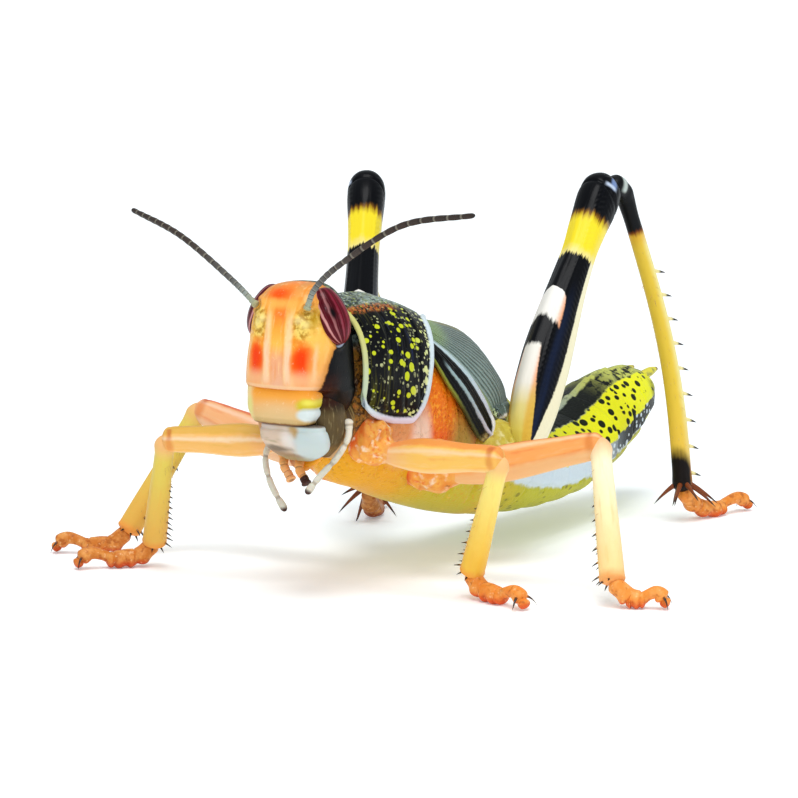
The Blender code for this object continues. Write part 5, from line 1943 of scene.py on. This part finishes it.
        first = path_line((ankle - along * 0.1 + up * 0.12, flat + along * heel[0] * 1.6 + up * heel[1],
                           spot(0.36, 0.56), spot(0.6, 0.5)))
        base = ((0, 0.42, 0.42), (0.12, 0.46, 0.46), (0.3, 0.44, 0.46), (0.6, 0.44, 0.46), (0.85, 0.4, 0.44),
                (1, 0.3, 0.34))
        second = path_line((spot(0.5, 0.46), spot(0.63, 0.74), spot(0.78, 0.86), spot(0.92, 0.52)))
        slim = ((0, 0.32, 0.3), (0.3, 0.29, 0.29), (0.6, 0.34, 0.34), (0.88, 0.42, 0.44), (1, 0.34, 0.36))
        pad_at = spot(0.93, 0.36)
        third = path_line((pad_at - along * 0.3 + up * 0.1, pad_at, pad_at + along * 0.2 - up * 0.1))
        plump = ((0, 0.24, 0.26), (0.6, 0.28, 0.34), (1, 0.22, 0.28))

        def above(tube: Tube) -> Rule:
            def rule(u: Array, v: Array) -> Array:
                points = tube.rule(u, v)
                points[:, 2] = np.maximum(points[:, 2], 0.0)
                return points
            return rule

        name = self.node("tarsus")
        tubes = ((Tube(first, UP, self.outer, base, 2.1, (0.08, 0.1), pads), 48, 110),
                 (Tube(second, UP, self.outer, slim, 2.0, (0.06, 0.14)), 30, 50),
                 (Tube(third, UP, self.outer, plump, 2.0, (0.3, 0.3)), 24, 24))
        pieces = [wrap(f"{name}_{key}", *cells, above(tube)) for key, (tube, *cells) in zip("abc", tubes)]
        settle(join(f"{name}_skin", pieces), self.foot_finish, "foot", name)
        across, ahead = Vector((-along[1], along[0], 0.0)), Vector(along)
        root = Vector(spot(0.86, 0.68))
        claws = []
        for sign in (1.0, -1.0):
            aim = ahead * 0.62 + across * (0.72 * sign) + Vector((0, 0, 0.22))
            bend = Vector((0, 0, -0.78)) + ahead * -0.16
            claws.append(Thorn(root + across * (0.18 * sign), aim, 0.92, 0.11, bend))
        settle(thorn_bed(self.node("claws"), claws, 12, 10), CLAW, "foot")


RIGHT_THIGH = ThighFinish("thigh right", body="F2B866", edge="DCAA44", streak="FBDDB8", low="F4CC90",
                          root="F2AC80")
RIGHT_SHIN = ShinFinish("shin right", top="DEC858", low="E2B050")
RIGHT_FOOT = FootFinish("foot right", body="C9752C", pad="C23C12")
LEGS = (
    Leg(Pair.FORE, Side.LEFT, (2.95, 4.1, 7.35), (10.0, 3.8, 7.7), (7.35, 5.5, 1.2), (11.6, 3.9),
        ThighFinish("thigh fore", body="F6C05E", edge="EE8A44", root="F3B888"),
        ShinFinish("shin fore", top="F6E27C", low="F0BE42"),
        FootFinish("foot fore", body="E88732", pad="D84C1A")),
    Leg(Pair.FORE, Side.RIGHT, (-2.95, 4.1, 7.55), (-9.0, 1.5, 7.5), (-11.6, 4.0, 1.2), (-14.8, 0.9),
        RIGHT_THIGH, RIGHT_SHIN, RIGHT_FOOT),
    Leg(Pair.MID, Side.LEFT, (4.0, 8.9, 5.7), (12.2, 10.4, 7.75), (14.75, 7.1, 1.2), (17.5, 8.1),
        ThighFinish("thigh mid", body="F2A45C", edge="E5602C", low="F2C088", root="F2AE60"),
        ShinFinish("shin mid", top="FDF6CC", low="F6D490"),
        FootFinish("foot mid", body="EC903C", pad="DA501C")),
    Leg(Pair.MID, Side.RIGHT, (-4.0, 8.9, 5.7), (-12.0, 9.0, 7.9), (-14.8, 5.9, 1.2), (-18.7, 4.2),
        ThighFinish("thigh far", body="F2B27C", edge="E0582A", streak="F8CFB0", low="F4C8A0"),
        RIGHT_SHIN, RIGHT_FOOT),
    Leg(Pair.HIND, Side.LEFT, (5.3, 14.4, 6.1), (3.75, 26.4, 19.7), (6.7, 30.9, 1.75), (8.3, 36.8),
        HindThighFinish("hind thigh", rise=0.02), HindShinFinish("hind shin"),
        FootFinish("foot hind", body="DE8230", pad="D24E18")),
    Leg(Pair.HIND, Side.RIGHT, (-5.3, 14.4, 6.1), (-11.95, 26.4, 19.15), (-8.5, 21.0, 1.75), (-11.0, 26.6),
        HindThighFinish("hind thigh far", rise=0.02, drop=0.06), HindShinFinish("hind shin"),
        FootFinish("foot hind right", body="A8602A", pad="8A3A1A")),
)


# ---- studio
class FloorFinish(Finish):
    """Plain pale paper."""

    def colour(self, brush: Brush) -> Wire:
        """Colours."""
        return mix(step(brush.noise(0.02, 2), -0.5, 0.5), "FAFCFD", "FCFDFD")

    def height(self, brush: Brush) -> Wire:
        """Nearly flat."""
        return brush.noise(0.5, 1) * 0.1

    def brew(self) -> bpy.types.Material:
        """Make the material, faintly lit from below like a light table."""
        made = super().brew()
        shader = made.node_tree.nodes["Principled BSDF"].inputs
        shader["Emission Color"].default_value = (0.86, 0.94, 1.0, 1.0)
        shader["Emission Strength"].default_value = 0.2
        return made


@dataclass(frozen=True)
class Lamp:
    """One soft lamp: a rectangle looking at the animal."""

    name: str
    spot: Place
    width: float
    power: float
    tint: Colour = (1.0, 1.0, 1.0)

    def build(self, aim: Vector) -> None:
        """Hang the lamp."""
        bpy.ops.object.light_add(type="AREA", location=AXES.metres(self.spot).tolist())
        lamp = bpy.context.object
        lamp.name = self.name
        lamp.data.shape = "SQUARE"
        lamp.data.size = self.width * MM
        lamp.data.energy = self.power
        lamp.data.color = self.tint
        lamp.rotation_euler = (aim - lamp.location).to_track_quat("-Z", "Y").to_euler()


@dataclass(frozen=True)
class Studio:
    """White floor, white surroundings, overhead light and the camera."""

    target: Place = (0.9695, 8.8, 9.486)
    turn: float = math.radians(31.37)
    rise: float = math.radians(8.23)
    distance: float = 187.0
    lens: float = 159.2
    sensor: float = 36.0
    sky: float = 0.56
    sun: float = 1.6

    def build(self) -> None:
        """Make floor, lights and camera."""
        deselect()
        bpy.ops.mesh.primitive_plane_add(size=8.0, location=(0.0, 0.0, 0.0))
        floor = bpy.context.object
        floor.name = "floor"
        paper = FloorFinish("paper", roughness=0.6, gloss=0.0, flesh=0.0, rise=0.0)
        floor.data.materials.append(paper.brew())
        world = bpy.data.worlds.new("studio")
        bpy.context.scene.world = world
        world.use_nodes = True
        sky = world.node_tree.nodes["Background"]
        sky.inputs[0].default_value = (0.9, 0.96, 1.0, 1.0)
        sky.inputs[1].default_value = self.sky
        bpy.ops.object.light_add(type="SUN", location=(0.0, 0.0, 0.5))
        sun = bpy.context.object
        sun.name = "overhead"
        sun.data.energy = self.sun
        sun.data.angle = math.radians(30.0)
        sun.rotation_euler = Vector((0.12, -0.22, 1.0)).to_track_quat("Z", "Y").to_euler()
        aim = Vector(AXES.metres(self.target))
        Lamp("key", (70.0, -90.0, 110.0), 60.0, 0.035, (0.93, 0.97, 1.0)).build(aim)
        Lamp("side", (140.0, 40.0, 60.0), 50.0, 0.02, (0.9, 0.95, 1.0)).build(aim)
        Lamp("spark", (60.0, -110.0, 120.0), 16.0, 0.018, (0.8, 0.9, 1.0)).build(aim)
        self.camera(aim)

    def camera(self, aim: Vector) -> None:
        """Set the camera low in front of the animal's left shoulder."""
        back = Vector((math.sin(self.turn) * math.cos(self.rise), -math.cos(self.turn) * math.cos(self.rise),
                       math.sin(self.rise)))
        bpy.ops.object.camera_add(location=aim + back * (self.distance * MM))
        camera = bpy.context.object
        camera.name = "camera"
        camera.rotation_euler = (-back).to_track_quat("-Z", "Y").to_euler()
        camera.data.lens = self.lens
        camera.data.sensor_width = self.sensor
        camera.data.clip_start = 0.005
        camera.data.clip_end = 20.0
        bpy.context.scene.camera = camera
        bpy.context.scene.view_settings.view_transform = "Standard"


def main() -> None:
    """Make the animal and its studio in order."""
    logging.basicConfig(level=logging.INFO, format="%(name)s %(message)s")
    Head().build()
    Collar().build()
    Pads().build()
    Trunk().build()
    for leg in LEGS:
        leg.build()
    Studio().build()


if __name__ == "__main__":
    main()
